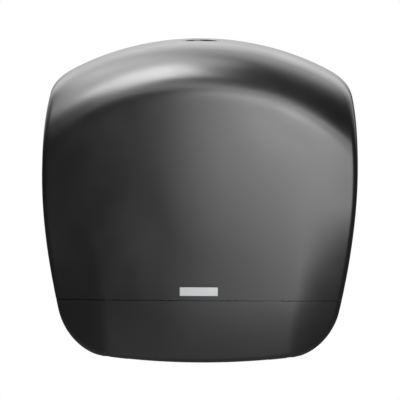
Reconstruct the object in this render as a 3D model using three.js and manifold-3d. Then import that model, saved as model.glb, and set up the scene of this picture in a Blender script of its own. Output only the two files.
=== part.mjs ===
// Wall-mounted dispenser for one jumbo toilet roll.
// Millimetres, +Z up. The wall is the plane y = 0, the dispenser stands in front of it at negative y,
// and the origin is the point of the wall behind the middle of the roll spindle.

import * as THREE from "three";
import { mergeVertices } from "three/addons/utils/BufferGeometryUtils.js";
import Module from "manifold-3d";

const wasm = await Module();
wasm.setup();

// Casing
const casingWidth = 310;
const casingHeight = 318;
const casingDepth = 132;
const coverWall = 2.5;
const wallGap = 1;
const sideCrown = 12;
const lowerLean = 4;
const lowerTurnSlope = Math.tan(THREE.MathUtils.degToRad(18));
const lowerTurnStartShare = 0.53;
const lowerTurnSpreadShare = 0.15;
const lowerTurnHeightShare = 0.5;
const lowerTurnBlend = 10;
const shoulderHeight = 50;
const shoulderDepth = 80;
const shoulderBendStartShare = 0.42;
const shoulderBendRadius = 290;
const edgeRadius = 5;
const leastEdgeShare = 0.25;
const sideDraft = THREE.MathUtils.degToRad(1.5);
const topDraft = THREE.MathUtils.degToRad(5);
const seamHeight = 63.5;
const seamGap = 0.8;

// Fits
const seatGap = 0.3;
const runningGap = 0.5;
const overrun = 20;

// Back plate
const plateThickness = 3;
const plateClearance = 2.5;
const plateRimDepth = 12;
const plateRimWall = 2;
const plateRimGap = 1.5;
const plateSkin = 1.2;
const padThickness = 6;
const ribDepth = 9;
const ribWall = 2;

// Wall screw slots in the back plate
const slotWidth = 5.5;
const slotLength = 12;
const slotPadRadius = 11;
const upperSlotFromSide = 57;
const upperSlotFromTop = 72;
const lowerSlotFromSide = 63;
const lowerSlotHeight = 84;

// Cover hinge
const hingeFromWall = 14;
const hingeAboveFlat = 12;
const hingeEyeRadius = 8;
const hingeReliefRise = 10;
const hingePinRadius = 2.5;
const hingePinHeadRadius = 4.5;
const hingePinHeadLength = 2;
const bushWall = 1.6;
const bushFlangeRadius = 5.4;
const bushFlangeLength = 1;
const earPastFlat = 4.31;
const earWall = 4;
const earHeight = 26;
const lugWall = 5;

// Lower cover
const lipDepth = 3;
const tongueHeight = 11;
const tongueWall = 2;
const tabWidth = 14;
const tabWall = 3;
const tabReach = 6;
const coverBossRadius = 4;
const bossRoom = 1;
const coverBossHeight = 22;
const innerBossX = 32;
const outerBossInset = 13;

// Outlet tray
const trayHeight = 9;
const trayFloor = 3;
const trayGap = 3;
const trayFlangeHeight = 15;
const trayFlangeWall = 3;
const outletFromWall = 16;
const outletFromFront = 20;
const outletWall = 2.5;
const outletWallHeight = 12;
const trayScrewInset = 14.2;
const trayScrewRoom = 7.5;

// Tear strips
const stripEndGap = 3;
const stripHeight = 13;
const stripThickness = 1.5;
const stripTip = 4.5;
const toothPitch = 4.5;
const toothDepth = 3;
const stripScrewInset = 12;
const stripScrewShank = 4.8;

// Spindle
const spindleHeight = 150;
const spindlePadRadius = 38;
const postRadius = 12;
const postWall = 3;
const postFlangeRadius = 31;
const postFlangeLength = 3.5;
const postEndLength = 11;
const postScrewCount = 3;
const postScrewShank = 8;
const postScrewCircle = 24;
const brakeRoom = 8;
const brakeSpringRadius = 15.2;
const brakeWireRadius = 0.9;
const brakeSpringTurns = 2;
const brakeWasherRadius = 21;
const brakeWasherLength = 1.6;

// Roll hub
const hubFlangeRadius = 45;
const hubFlangeLength = 2.5;
const hubBarrelRadius = 20;
const hubBarrelWall = 2.2;
const hubBearingLength = 12;
const hubFinRadius = 28;
const hubFinWall = 2.4;
const hubFinLead = 9;
const hubFinCount = 6;
const hubCupLength = 7;
const hubCapLength = 2.6;
const hubCapRound = 1.3;
const hubFrontRoom = 15.3;
const hubCapPlugLength = 3;
const hubCapPlugWall = 1.3;
const endWasherRadius = 15;
const endWasherLength = 1.5;

// Screws
const screwRadius = 1.6;
const screwHeadRadius = 3.2;
const screwHeadLength = 2.2;
const screwRecessRadius = 1.5;
const screwRecessDepth = 1.1;
const screwHoleGap = 0.3;
const screwHeadChamfer = 0.7;
const plateScrewShank = 7;
const coverScrewShank = 8;

// Lock and latch
const lockFromWall = 30;
const bezelHalfLength = 18;
const bezelHalfWidth = 12;
const bezelRim = 2.2;
const dishDepth = 6;
const dishFloor = 2;
const buttonRadius = 7.5;
const buttonStand = 2;
const buttonFlangeRadius = 9.4;
const buttonFlangeLength = 1.5;
const buttonChamfer = 0.6;
const stemRadius = 3;
const nibRadius = 1;
const nibLength = 0.7;
const plugRadius = 4;
const plugDepth = 3.4;
const keySlotLength = 5.2;
const keySlotWidth = 1.3;
const keySlotDepth = 2;
const buttonSpringRadius = 5.6;
const buttonWireRadius = 0.45;
const buttonSpringTurns = 4;
const springRoom = 8.2;
const cupWall = 2.5;
const cupFloor = 2;
const housingEarX = 25;
const housingEarWidth = 12;
const housingEarWall = 2.5;
const housingEarDrop = 3;
const housingBossRadius = 4;
const leverHalfWidth = 5;
const leverThickness = 4;
const leverGap = 0.5;
const leverArm = 20;
const leverEyeRadius = 3.4;
const cheekEyeRadius = 3.8;
const latchPinRadius = 1.5;
const latchPinOver = 1;
const cheekWall = 2.5;
const toothLength = 3.5;
const toothHeight = 4;
const toothBackShare = 0.35;
const keeperHalfWidth = 17;
const keeperFlangeWall = 2.5;
const keeperFlangeHeight = 17;
const keeperArmWall = 3;
const keeperGap = 1.5;
const keeperLipWall = 2.5;
const keeperLipGap = 0.8;
const keeperScrewX = 11;

// Nameplate
const nameplateWidth = 36.5;
const nameplateHeight = 8.2;
const nameplateThickness = 1;
const nameplatePocket = 0.6;
const nameplateAboveSeam = 8.6;

// Faceting
const roundSides = 24;
const smallSides = 12;
const weldDistance = 1e-4;

const materials = {
  cover: new THREE.MeshStandardMaterial({ color: 0x232324, roughness: 0.42, metalness: 0 }),
  chassis: new THREE.MeshStandardMaterial({ color: 0x3a3b3d, roughness: 0.55, metalness: 0 }),
  hub: new THREE.MeshStandardMaterial({ color: 0x6d7073, roughness: 0.5, metalness: 0 }),
  badge: new THREE.MeshStandardMaterial({ color: 0xc9cacb, roughness: 0.3, metalness: 1 }),
  steel: new THREE.MeshStandardMaterial({ color: 0xb8babd, roughness: 0.3, metalness: 1 }),
  lock: new THREE.MeshStandardMaterial({ color: 0x4a4b4d, roughness: 0.45, metalness: 0 }),
  felt: new THREE.MeshStandardMaterial({ color: 0x8a8377, roughness: 0.95, metalness: 0 }),
};

// A closed geometry as a solid that can be joined and cut.
function solid(geometry) {
  const bare = geometry.index ? geometry.toNonIndexed() : geometry.clone();
  bare.deleteAttribute("normal");
  bare.deleteAttribute("uv");
  const merged = mergeVertices(bare, weldDistance);
  const triVerts = new Uint32Array(merged.index.array);
  const vertProperties = merged.attributes.position.array;
  const made = new wasm.Manifold(new wasm.Mesh({ numProp: 3, vertProperties, triVerts }));
  if (made.volume() > 0) return made;
  for (let i = 0; i < triVerts.length; i += 3) {
    [triVerts[i], triVerts[i + 1]] = [triVerts[i + 1], triVerts[i]];
  }
  return new wasm.Manifold(new wasm.Mesh({ numProp: 3, vertProperties, triVerts }));
}

function geometryOf(body) {
  const mesh = body.getMesh();
  const geometry = new THREE.BufferGeometry();
  geometry.setAttribute("position", new THREE.BufferAttribute(mesh.vertProperties, mesh.numProp));
  geometry.setIndex(new THREE.BufferAttribute(mesh.triVerts, 1));
  geometry.computeVertexNormals();
  return geometry;
}

function addPiece(group, name, body, material) {
  const mesh = new THREE.Mesh(geometryOf(body), material);
  mesh.name = name;
  group.add(mesh);
  return mesh;
}

function join(...bodies) {
  return bodies.reduce((whole, body) => whole.add(body));
}

function cut(body, ...tools) {
  return tools.reduce((rest, tool) => rest.subtract(tool), body);
}

function block(xLow, xHigh, yLow, yHigh, zLow, zHigh) {
  const geometry = new THREE.BoxGeometry(xHigh - xLow, yHigh - yLow, zHigh - zLow);
  geometry.translate((xLow + xHigh) / 2, (yLow + yHigh) / 2, (zLow + zHigh) / 2);
  return solid(geometry);
}

// A rod along x, y or z from start to end; the other two coordinates come from at.
function rod(axis, radius, start, end, at = {}, sides = roundSides) {
  const geometry = new THREE.CylinderGeometry(radius, radius, Math.abs(end - start), sides);
  if (axis === "x") geometry.rotateZ(Math.PI / 2);
  if (axis === "z") geometry.rotateX(Math.PI / 2);
  const centre = { x: 0, y: 0, z: 0, ...at };
  centre[axis] = (start + end) / 2;
  return solid(geometry.translate(centre.x, centre.y, centre.z));
}

// A turned piece: profile pairs are radius and place along y.
function turned(profile, sides = roundSides) {
  const points = profile.map(([radius, along]) => new THREE.Vector2(radius, along));
  return solid(new THREE.LatheGeometry(points, sides));
}

// The same with its axis upright: profile pairs are radius and height.
function turnedUpright(profile, sides = roundSides) {
  const points = profile.map(([radius, along]) => new THREE.Vector2(radius, along));
  return solid(new THREE.LatheGeometry(points, sides).rotateX(Math.PI / 2));
}

// A flat outline in x and z, pulled out from yBack towards the room to yFront.
function slab(points, yBack, yFront) {
  const options = { depth: yBack - yFront, bevelEnabled: false };
  const geometry = new THREE.ExtrudeGeometry(new THREE.Shape(points), options);
  return solid(geometry.rotateX(Math.PI / 2).translate(0, yBack, 0));
}

// A flat outline in y and z, pulled out along x from xLow to xHigh.
function crosswise(points, xLow, xHigh) {
  const options = { depth: xHigh - xLow, bevelEnabled: false };
  const shape = new THREE.Shape(points.map(([along, up]) => new THREE.Vector2(along, up)));
  const geometry = new THREE.ExtrudeGeometry(shape, options);
  return solid(geometry.rotateX(Math.PI / 2).rotateZ(Math.PI / 2).translate(xLow, 0, 0));
}

function oval(halfLength, halfWidth, zLow, zHigh) {
  const shape = new THREE.Shape().absellipse(0, 0, halfLength, halfWidth, 0, 2 * Math.PI);
  const options = { depth: zHigh - zLow, bevelEnabled: false, curveSegments: smallSides };
  return solid(new THREE.ExtrudeGeometry(shape, options).translate(0, 0, zLow));
}

// An open coil spring: one unbroken tube round the z axis, from zLow to zHigh over its wire.
const coilSteps = 8;
const wireSides = 5;
function coil(radius, wireRadius, turns, zLow, zHigh) {
  const count = turns * coilSteps;
  const rise = zHigh - zLow - 2 * wireRadius;
  const centres = [];
  for (let i = 0; i <= count; i += 1) {
    const angle = (2 * Math.PI * i) / coilSteps;
    const height = zLow + wireRadius + (rise * i) / count;
    centres.push(new THREE.Vector3(radius * Math.cos(angle), radius * Math.sin(angle), height));
  }
  let leastGap = Infinity;
  centres.forEach((a, i) => {
    centres.slice(i + coilSteps / 2).forEach((b) => {
      leastGap = Math.min(leastGap, a.distanceTo(b) - 2 * wireRadius);
    });
  });
  console.log("coil of " + turns + " turns, least gap " + leastGap.toFixed(2) + " mm");
  const positions = [];
  centres.forEach((centre) => {
    const outward = new THREE.Vector3(centre.x, centre.y, 0).normalize();
    for (let k = 0; k < wireSides; k += 1) {
      const turn = (2 * Math.PI * k) / wireSides;
      const point = centre.clone().addScaledVector(outward, wireRadius * Math.cos(turn));
      point.z += wireRadius * Math.sin(turn);
      positions.push(point);
    }
  });
  return solid(ringsGeometry(positions, wireSides));
}

// A closed skin through rings of points, with a fan over each end.
function ringsGeometry(points, perRing) {
  const rings = points.length / perRing;
  const middle = (first) => {
    const centre = new THREE.Vector3();
    for (let k = 0; k < perRing; k += 1) centre.add(points[first + k]);
    return centre.divideScalar(perRing);
  };
  const all = [...points, middle(0), middle(points.length - perRing)];
  const index = [];
  for (let k = 0; k < perRing; k += 1) {
    const next = (k + 1) % perRing;
    for (let i = 0; i + 1 < rings; i += 1) {
      const near = i * perRing;
      const far = near + perRing;
      index.push(near + k, near + next, far + next, near + k, far + next, far + k);
    }
    const last = (rings - 1) * perRing;
    index.push(points.length, next, k);
    index.push(points.length + 1, last + k, last + next);
  }
  const geometry = new THREE.BufferGeometry();
  geometry.setFromPoints(all);
  geometry.setIndex(index);
  return geometry;
}

// The casing seen from the front. Each run is a cubic curve: two handles and an end, as shares of the
// half width and of the height, from the middle of the top down the right side to the middle of the bottom.
const outlineShares = [
  [[0.282, 1], [0.563, 0.968], [0.811, 0.904]],
  [[0.884, 0.885], [0.944, 0.86], [0.961, 0.822]],
  [[0.992, 0.753], [1, 0.67], [1, 0.59]],
  [[1, 0.45], [0.953, 0.3], [0.891, 0.165]],
  [[0.857, 0.091], [0.735, 0.028], [0.598, 0.019]],
  [[0.397, 0.006], [0.2, 0], [0, 0]],
];
const outlineSteps = [7, 5, 4, 4, 7, 4];

function casingOutline() {
  const place = ([across, up]) => new THREE.Vector2((across * casingWidth) / 2, up * casingHeight);
  const half = [place([0, 1])];
  outlineShares.forEach((run, i) => {
    const curve = new THREE.CubicBezierCurve(half[half.length - 1], ...run.map(place));
    half.push(...curve.getPoints(outlineSteps[i]).slice(1));
  });
  const mirrored = half.slice(1, -1).reverse();
  return [...half, ...mirrored.map((point) => new THREE.Vector2(-point.x, point.y))];
}

// Moves every point of a clockwise outline inwards, square to the outline.
function inset(points, distance) {
  return points.map((point, i) => {
    const before = points[(i + points.length - 1) % points.length];
    const after = points[(i + 1) % points.length];
    const along = after.clone().sub(before).normalize();
    return new THREE.Vector2(point.x + along.y * distance, point.y - along.x * distance);
  });
}

// How far the front stands out from the wall, at a depth of wall thickness under the outer face.
const [topArcAcross, topArcUp] = outlineShares[0][2];
function frontDepth(x, z, under) {
  const reach = (topArcAcross * casingWidth) / 2;
  const drop = (1 - topArcUp) * casingHeight;
  const arcRadius = (reach * reach + drop * drop) / (2 * drop);
  const arcHeight = casingHeight - arcRadius + Math.sqrt(Math.max(arcRadius * arcRadius - x * x, 0));
  let depth = casingDepth - under - sideCrown * (2 * x / casingWidth) ** 2;
  if (z < seamHeight) depth -= lowerLean * (1 - z / seamHeight) ** 2;
  // Low down the front turns back towards the sides, and less and less further up.
  const turnStart = (lowerTurnStartShare * casingWidth) / 2 + lowerTurnSpreadShare * z;
  const turnFade = Math.max(1 - (z / (lowerTurnHeightShare * casingHeight)) ** 2, 0) ** 2;
  const pastTurn = Math.max(Math.abs(x) - turnStart, 0);
  depth -= turnFade * lowerTurnSlope * (Math.hypot(pastTurn, lowerTurnBlend) - lowerTurnBlend);
  // The shoulder under the top's arc is taller towards the sides.
  const bendStart = (shoulderBendStartShare * casingWidth) / 2;
  const bend = Math.max(Math.abs(x) - bendStart, 0) ** 2 / (2 * shoulderBendRadius);
  const above = 1 - Math.max(arcHeight - under - z, 0) / (shoulderHeight + bend - under);
  if (above > 0) depth -= (shoulderDepth - under) * (1 - Math.sqrt(1 - above * above));
  return depth;
}

// The casing narrows towards the room, so that it leaves its mould.
function drafted(x, z, depth) {
  const across = x * (1 - (2 * depth * Math.tan(sideDraft)) / casingWidth);
  const fall = depth * Math.tan(topDraft) * (z / casingHeight);
  const rise = depth * Math.tan(sideDraft) * (1 - z / casingHeight);
  return new THREE.Vector3(across, -depth, z - fall + rise);
}

// The casing as a closed body whose face lies under the outer face, from the depth at its back.
const outerEdgeShares = [0, 0.06, 0.22, 0.5, 1];
const outerRingShares = [0.96, 0.92, 0.87, 0.81, 0.74, 0.66, 0.5, 0.28];
const innerEdgeShares = [0, 0.3, 1];
const innerRingShares = [0.93, 0.84, 0.72, 0.5];
function casingBody(under, backDepth) {
  const edgeShares = under > 0 ? innerEdgeShares : outerEdgeShares;
  const ringShares = under > 0 ? innerRingShares : outerRingShares;
  const outline = inset(casingOutline(), under);
  const radius = Math.max(edgeRadius - under, edgeRadius * leastEdgeShare);
  const rings = [outline.map((p) => drafted(p.x, p.y, backDepth))];
  edgeShares.forEach((share) => {
    const round = radius * (1 - Math.sqrt(1 - (1 - share) ** 2));
    const points = inset(outline, share * radius);
    rings.push(points.map((p) => drafted(p.x, p.y, frontDepth(p.x, p.y, under) - round)));
  });
  const edge = inset(outline, radius);
  ringShares.forEach((share) => {
    rings.push(edge.map((p) => {
      const x = p.x * share;
      const z = casingHeight / 2 + (p.y - casingHeight / 2) * share;
      return drafted(x, z, frontDepth(x, z, under));
    }));
  });
  return solid(ringsGeometry(rings.flat(), outline.length));
}

// The outer face of the front, or a face under it, at a place given in the flat outline.
function frontPoint(x, z, under = 0) {
  return drafted(x, z, frontDepth(x, z, under));
}

// One screw, its head against y = 0 on the room side and its shank towards the wall.
function screwBody(shank, radius = screwRadius, headRadius = screwHeadRadius) {
  const body = turned([
    [0, shank],
    [radius / 2, shank],
    [radius, shank - radius],
    [radius, 0],
    [headRadius, 0],
    [headRadius, screwHeadChamfer - screwHeadLength],
    [headRadius - screwHeadChamfer, -screwHeadLength],
    [0, -screwHeadLength],
  ], smallSides);
  const recessEnd = -screwHeadLength + screwRecessDepth;
  return cut(body, rod("y", screwRecessRadius, -screwHeadLength - overrun, recessEnd, {}, smallSides / 2));
}

function addScrew(group, name, shank, place, rotation = {}) {
  const screw = addPiece(group, name, screwBody(shank), materials.steel);
  screw.position.set(place.x, place.y, place.z);
  screw.rotation.set(rotation.x ?? 0, rotation.y ?? 0, rotation.z ?? 0);
  return screw;
}

const sides = [["left", -1], ["right", 1]];
const screwHoleRadius = screwRadius + screwHoleGap;

// Places across and along the bottom, worked from the ends of its flat run and the casing's depth.
const [flatEndAcross, flatEndUp] = outlineShares[4][2];
const hingeHeight = flatEndUp * casingHeight + hingeAboveFlat;
const earInnerX = (flatEndAcross * casingWidth) / 2 + earPastFlat;
const lugOuterX = earInnerX - runningGap;
const pinSeat = lugOuterX - lugWall - seatGap;
const trayHalfWidth = earInnerX - trayGap;
const trayRearHalfWidth = pinSeat - hingePinHeadLength - trayGap;
const trayScrewX = trayRearHalfWidth - trayScrewInset;
const outletHalfWidth = trayScrewX - trayScrewRoom - outletWall;
const outerBossX = earInnerX - outerBossInset;
const upperSlotX = casingWidth / 2 - upperSlotFromSide;
const upperSlotHeight = casingHeight - upperSlotFromTop;
const lowerSlotX = casingWidth / 2 - lowerSlotFromSide;
const trayNotch = hingeFromWall + hingeEyeRadius + trayGap;
const outletBack = -outletFromWall;
const outletFront = outletFromFront - casingDepth;
const stripLength = outletBack - outletFront - 2 * stripEndGap;
const plateRimStart = seamHeight + tongueHeight + plateRimGap;

// The outlet tray's rear flange, the spindle post and the keeper sit on pads of the back plate.
const padFront = -padThickness;
const lowerPadTop = trayHeight + trayFlangeHeight + ribWall;
const keeperTop = casingHeight - plateClearance - coverWall - ribWall;

// Heights inside the lock, worked down from the outer face at the top of the casing.
const lockTop = drafted(0, casingHeight, lockFromWall).z;
const dishTop = lockTop - dishDepth;
const flangeTop = dishTop - dishFloor - seatGap;
const flangeLow = flangeTop - buttonFlangeLength;
const springLow = flangeLow - seatGap - springRoom;
const cupLow = springLow - seatGap - cupFloor;
const leverTop = cupLow - leverGap;
const leverLow = leverTop - leverThickness;
const nibLow = leverTop + seatGap;
const leverPivotY = -lockFromWall - leverArm;
const leverPivotZ = (leverTop + leverLow) / 2;
const keeperReach = lockFromWall - buttonFlangeRadius - runningGap - cupWall - keeperGap;
const lipBack = -keeperReach + keeperLipWall;
const lipLow = leverTop + keeperLipGap;
const keeperArmLow = leverTop + toothHeight + keeperGap;

function backPlate() {
  const edge = inset(casingOutline(), coverWall + plateClearance);
  const innerEdge = inset(edge, plateRimWall);
  const rim = slab(edge, -plateThickness / 2, -plateRimDepth)
    .subtract(slab(innerEdge, overrun, -plateRimDepth - overrun))
    .intersect(block(-casingWidth, casingWidth, -overrun, 0, plateRimStart, casingHeight));
  let body = join(slab(edge, 0, -plateThickness), rim);

  // An upright rib and three crosswise ribs on each side of the spindle stiffen the plate.
  const ribTop = upperSlotHeight + slotPadRadius * 2;
  const ribRoom = slab(inset(edge, plateRimWall / 2), 0, -ribDepth);
  sides.forEach(([, side]) => {
    const x = side * (spindlePadRadius + ribWall);
    body = join(body, block(x - ribWall / 2, x + ribWall / 2, -ribDepth, -plateThickness / 2, plateRimStart, ribTop));
    const near = side * (spindlePadRadius - ribWall);
    const far = (side * casingWidth) / 2;
    [lowerSlotHeight + slotPadRadius * 2, spindleHeight, upperSlotHeight - slotPadRadius * 2].forEach((z) => {
      const low = Math.min(near, far);
      const high = Math.max(near, far);
      const rib = block(low, high, -ribDepth, -plateThickness / 2, z - ribWall / 2, z + ribWall / 2);
      body = join(body, rib.intersect(ribRoom));
    });
  });

  // Pads for the spindle, the keeper and the tray.
  body = join(
    body,
    rod("y", spindlePadRadius, padFront, -plateThickness / 2, { z: spindleHeight }, roundSides * 2),
    block(-keeperHalfWidth - ribWall, keeperHalfWidth + ribWall, padFront, -plateThickness / 2,
      keeperArmLow - keeperFlangeHeight, keeperTop),
    block(-trayRearHalfWidth, trayRearHalfWidth, padFront, -plateThickness / 2,
      trayHeight + trayFloor, lowerPadTop),
  );

  // Round pads and slots for the wall screws.
  [[upperSlotX, upperSlotHeight], [lowerSlotX, lowerSlotHeight]].forEach(([slotX, z]) => {
    sides.forEach(([, side]) => {
      const x = side * slotX;
      body = join(body, rod("y", slotPadRadius, padFront, -plateThickness / 2, { x, z }));
      const half = (slotLength - slotWidth) / 2;
      body = cut(
        body,
        block(x - slotWidth / 2, x + slotWidth / 2, -overrun, overrun, z - half, z + half),
        rod("y", slotWidth / 2, -overrun, overrun, { x, z: z - half }, smallSides),
        rod("y", slotWidth / 2, -overrun, overrun, { x, z: z + half }, smallSides),
      );
    });
  });

  // Hinge lugs.
  sides.forEach(([, side]) => {
    const near = Math.min(side * (lugOuterX - lugWall), side * lugOuterX);
    const far = Math.max(side * (lugOuterX - lugWall), side * lugOuterX);
    const centre = { y: -hingeFromWall, z: hingeHeight };
    body = join(
      body,
      rod("x", hingeEyeRadius, near, far, centre),
      block(near, far, -hingeFromWall, -plateThickness / 2, hingeHeight - ribWall, hingeHeight + hingeEyeRadius),
    );
    body = cut(body, rod("x", hingePinRadius + seatGap, near - overrun, far + overrun, centre, smallSides));
  });

  // Screw holes.
  const holes = [
    ...spindleScrewPlaces().map(({ x, z }) => ({ x, z: z + spindleHeight })),
    ...keeperScrewPlaces(),
    ...trayScrewPlaces(),
  ];
  holes.forEach(({ x, z }) => {
    body = cut(body, rod("y", screwHoleRadius, -overrun, -plateSkin, { x, z }, smallSides));
  });
  return body;
}

function spindleScrewPlaces() {
  return Array.from({ length: postScrewCount }, (_, i) => {
    const angle = Math.PI / 2 + (i * 2 * Math.PI) / postScrewCount;
    return { x: postScrewCircle * Math.cos(angle), z: postScrewCircle * Math.sin(angle) };
  });
}

function keeperScrewPlaces() {
  const z = keeperArmLow - keeperFlangeHeight / 2;
  return sides.map(([, side]) => ({ x: side * keeperScrewX, z }));
}

function trayScrewPlaces() {
  const z = trayHeight + trayFloor + (trayFlangeHeight - trayFloor) / 2;
  return sides.map(([, side]) => ({ x: side * trayScrewX, z }));
}

const shell = casingBody(0, wallGap).subtract(casingBody(coverWall, -overrun));

// Below and behind the hinge axis the cover is cut back, so that it clears the back plate as it swings.
const hingeRelief = crosswise([
  [-hingeFromWall, -overrun],
  [overrun, -overrun],
  [overrun, hingeHeight + hingeReliefRise],
  [-wallGap, hingeHeight + hingeReliefRise],
  [-hingeFromWall, hingeHeight],
], -casingWidth, casingWidth);

function bossPlaces() {
  return sides.flatMap(([name, side]) => [
    { name: name + "_inner", x: side * innerBossX },
    { name: name + "_outer", x: side * outerBossX },
  ]).map((place) => {
    const wall = frontPoint(place.x, seamHeight, coverWall);
    return { ...place, y: wall.y + seatGap + tongueWall + screwHeadRadius + bossRoom };
  });
}

function frontCover() {
  const upper = block(-casingWidth, casingWidth, -casingDepth - overrun, overrun,
    seamHeight + seamGap / 2, casingHeight + overrun);
  let body = shell.subtract(hingeRelief).intersect(upper);

  // Bosses that take the screws of the lower cover, each with a web to the front wall.
  const room = casingBody(coverWall / 2, 0);
  const bossLow = seamHeight + seamGap / 2;
  bossPlaces().forEach(({ x, y }) => {
    const boss = join(
      rod("z", coverBossRadius, bossLow, bossLow + coverBossHeight, { x, y }, smallSides),
      block(x - ribWall / 2, x + ribWall / 2, -casingDepth, y, bossLow, bossLow + coverBossHeight),
    );
    const hole = rod("z", screwHoleRadius, -overrun, bossLow + coverScrewShank, { x, y }, smallSides);
    body = cut(join(body, boss.intersect(room)), hole);
  });

  // Bosses for the lock housing, and the oval hole for the bezel.
  const earTop = flangeTop - housingEarDrop;
  const topRoom = casingBody(coverWall / 2, 0);
  sides.forEach(([, side]) => {
    const at = { x: side * housingEarX, y: -lockFromWall };
    const boss = rod("z", housingBossRadius, earTop + seatGap, casingHeight, at, smallSides);
    const hole = rod("z", screwHoleRadius, -overrun, earTop + coverScrewShank - housingEarWall, at, smallSides);
    body = cut(join(body, boss.intersect(topRoom)), hole);
  });
  const bezelHole = oval(bezelHalfLength + seatGap, bezelHalfWidth + seatGap, dishTop - dishFloor, casingHeight)
    .translate([0, -lockFromWall, 0]);
  body = cut(body, bezelHole);

  // Shallow pocket for the nameplate.
  const pocket = frontPoint(0, seamHeight + nameplateAboveSeam);
  const halfWidth = nameplateWidth / 2 + seatGap;
  const halfHeight = nameplateHeight / 2 + seatGap;
  return cut(body, block(-halfWidth, halfWidth, -casingDepth - overrun, pocket.y + nameplatePocket,
    pocket.z - halfHeight, pocket.z + halfHeight));
}

// The room between the front wall and the back, down through the bottom of the casing.
function bottomRoom(under) {
  return casingBody(under, -overrun).translate([0, 0, -earHeight]);
}

function lowerCover() {
  const top = seamHeight - seamGap / 2;
  const lower = block(-casingWidth, casingWidth, -casingDepth - overrun, overrun, -overrun, top);
  const everywhere = [-casingWidth, casingWidth, -casingDepth - overrun, -hingeFromWall];

  // A tongue stands up behind the lower edge of the front cover.
  const tongueFace = coverWall + seatGap;
  const tongue = casingBody(tongueFace, wallGap)
    .subtract(casingBody(tongueFace + tongueWall, -overrun))
    .intersect(block(...everywhere, top - tongueHeight, seamHeight + tongueHeight));
  const root = casingBody(coverWall / 2, wallGap)
    .subtract(casingBody(tongueFace + tongueWall, -overrun))
    .intersect(block(...everywhere, top - tongueHeight, top));
  let body = join(shell.subtract(hingeRelief).intersect(lower), tongue, root);

  // The bottom is open for the tray, apart from a lip along the front.
  const opening = block(-earInnerX, earInnerX, -casingDepth, overrun, -overrun, earHeight);
  body = cut(body, opening.intersect(bottomRoom(coverWall + lipDepth)));

  // Side flanges of the opening, which end in the hinge eyes.
  const inside = casingBody(coverWall / 2, -overrun);
  sides.forEach(([, side]) => {
    const near = Math.min(side * earInnerX, side * (earInnerX + earWall));
    const far = Math.max(side * earInnerX, side * (earInnerX + earWall));
    const centre = { y: -hingeFromWall, z: hingeHeight };
    const flange = block(near, far, -casingDepth, -hingeFromWall, 0, earHeight).intersect(inside);
    body = join(body, flange, rod("x", hingeEyeRadius, near, far, centre));
    const bushHole = hingePinRadius + seatGap + bushWall + seatGap;
    body = cut(body, rod("x", bushHole, near - bushFlangeLength, far + bushFlangeLength, centre));
  });

  // Tabs under the front cover's bosses.
  const room = casingBody(coverWall / 2, 0);
  bossPlaces().forEach(({ x, y }) => {
    const tab = block(x - tabWidth / 2, x + tabWidth / 2, -casingDepth, y + tabReach,
      top - tabWall, top).intersect(room);
    body = cut(join(body, tab), rod("z", screwHoleRadius, 0, casingHeight, { x, y }, smallSides));
  });

  // The tongue stays clear of the bosses and their webs.
  bossPlaces().forEach(({ x, y }) => {
    const clear = coverBossRadius + runningGap;
    body = cut(body, block(x - clear, x + clear, -casingDepth - overrun, y + clear, top, casingHeight));
  });
  return body;
}

function outletTray() {
  const back = padFront - seatGap;
  const low = trayHeight;
  const floorTop = low + trayFloor;
  let body = join(
    block(-trayHalfWidth, trayHalfWidth, -casingDepth, -trayNotch, low, floorTop)
      .intersect(bottomRoom(coverWall + lipDepth + trayGap)),
    block(-trayRearHalfWidth, trayRearHalfWidth, -trayNotch - trayFloor, back, low, floorTop),
    block(-trayRearHalfWidth, trayRearHalfWidth, back - trayFlangeWall, back, low, low + trayFlangeHeight),
  );
  // Low walls stand round the outlet and guide the paper down.
  const outer = outletHalfWidth + outletWall;
  body = join(body, block(-outer, outer, outletFront - outletWall, outletBack + outletWall,
    low, floorTop + outletWallHeight));
  body = cut(body, block(-outletHalfWidth, outletHalfWidth, outletFront, outletBack, -overrun, casingHeight));
  trayScrewPlaces().forEach(({ x, z }) => {
    body = cut(body, rod("y", screwHoleRadius, -overrun, overrun, { x, z }, smallSides));
  });
  stripScrewPlaces().forEach(({ y, z }) => {
    body = cut(body, rod("x", screwHoleRadius, -outer - overrun, outer + overrun, { y, z }, smallSides));
  });
  // Stiffening ribs join the outlet walls to the rear flange.
  const ribX = (outer + trayScrewX - screwHeadRadius) / 2;
  sides.forEach(([, side]) => {
    const x = side * ribX;
    body = join(body, block(x - ribWall / 2, x + ribWall / 2, -trayNotch, back - trayFlangeWall / 2,
      low, floorTop + outletWallHeight / 2));
  });
  return body;
}

function stripScrewPlaces() {
  const middle = (outletFront + outletBack) / 2;
  const reach = stripLength / 2 - stripScrewInset;
  const z = trayHeight + trayFloor + outletWallHeight / 2 - screwHoleGap;
  return [{ y: middle + reach, z }, { y: middle - reach, z }];
}

// A flat strip with a row of teeth along its lower edge, in y and z.
function tearStrip() {
  const teeth = Math.floor(stripLength / toothPitch);
  const start = outletFront + stripEndGap;
  const pitch = stripLength / teeth;
  const root = stripTip + toothDepth;
  const points = [[start, root + stripHeight], [start, root]];
  for (let i = 0; i < teeth; i += 1) {
    points.push([start + (i + 0.5) * pitch, stripTip], [start + (i + 1) * pitch, root]);
  }
  points.push([start + stripLength, root + stripHeight]);
  let body = crosswise(points, 0, stripThickness);
  stripScrewPlaces().forEach(({ y, z }) => {
    body = cut(body, rod("x", screwHoleRadius, -overrun, overrun, { y, z }, smallSides));
  });
  return body;
}

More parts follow.
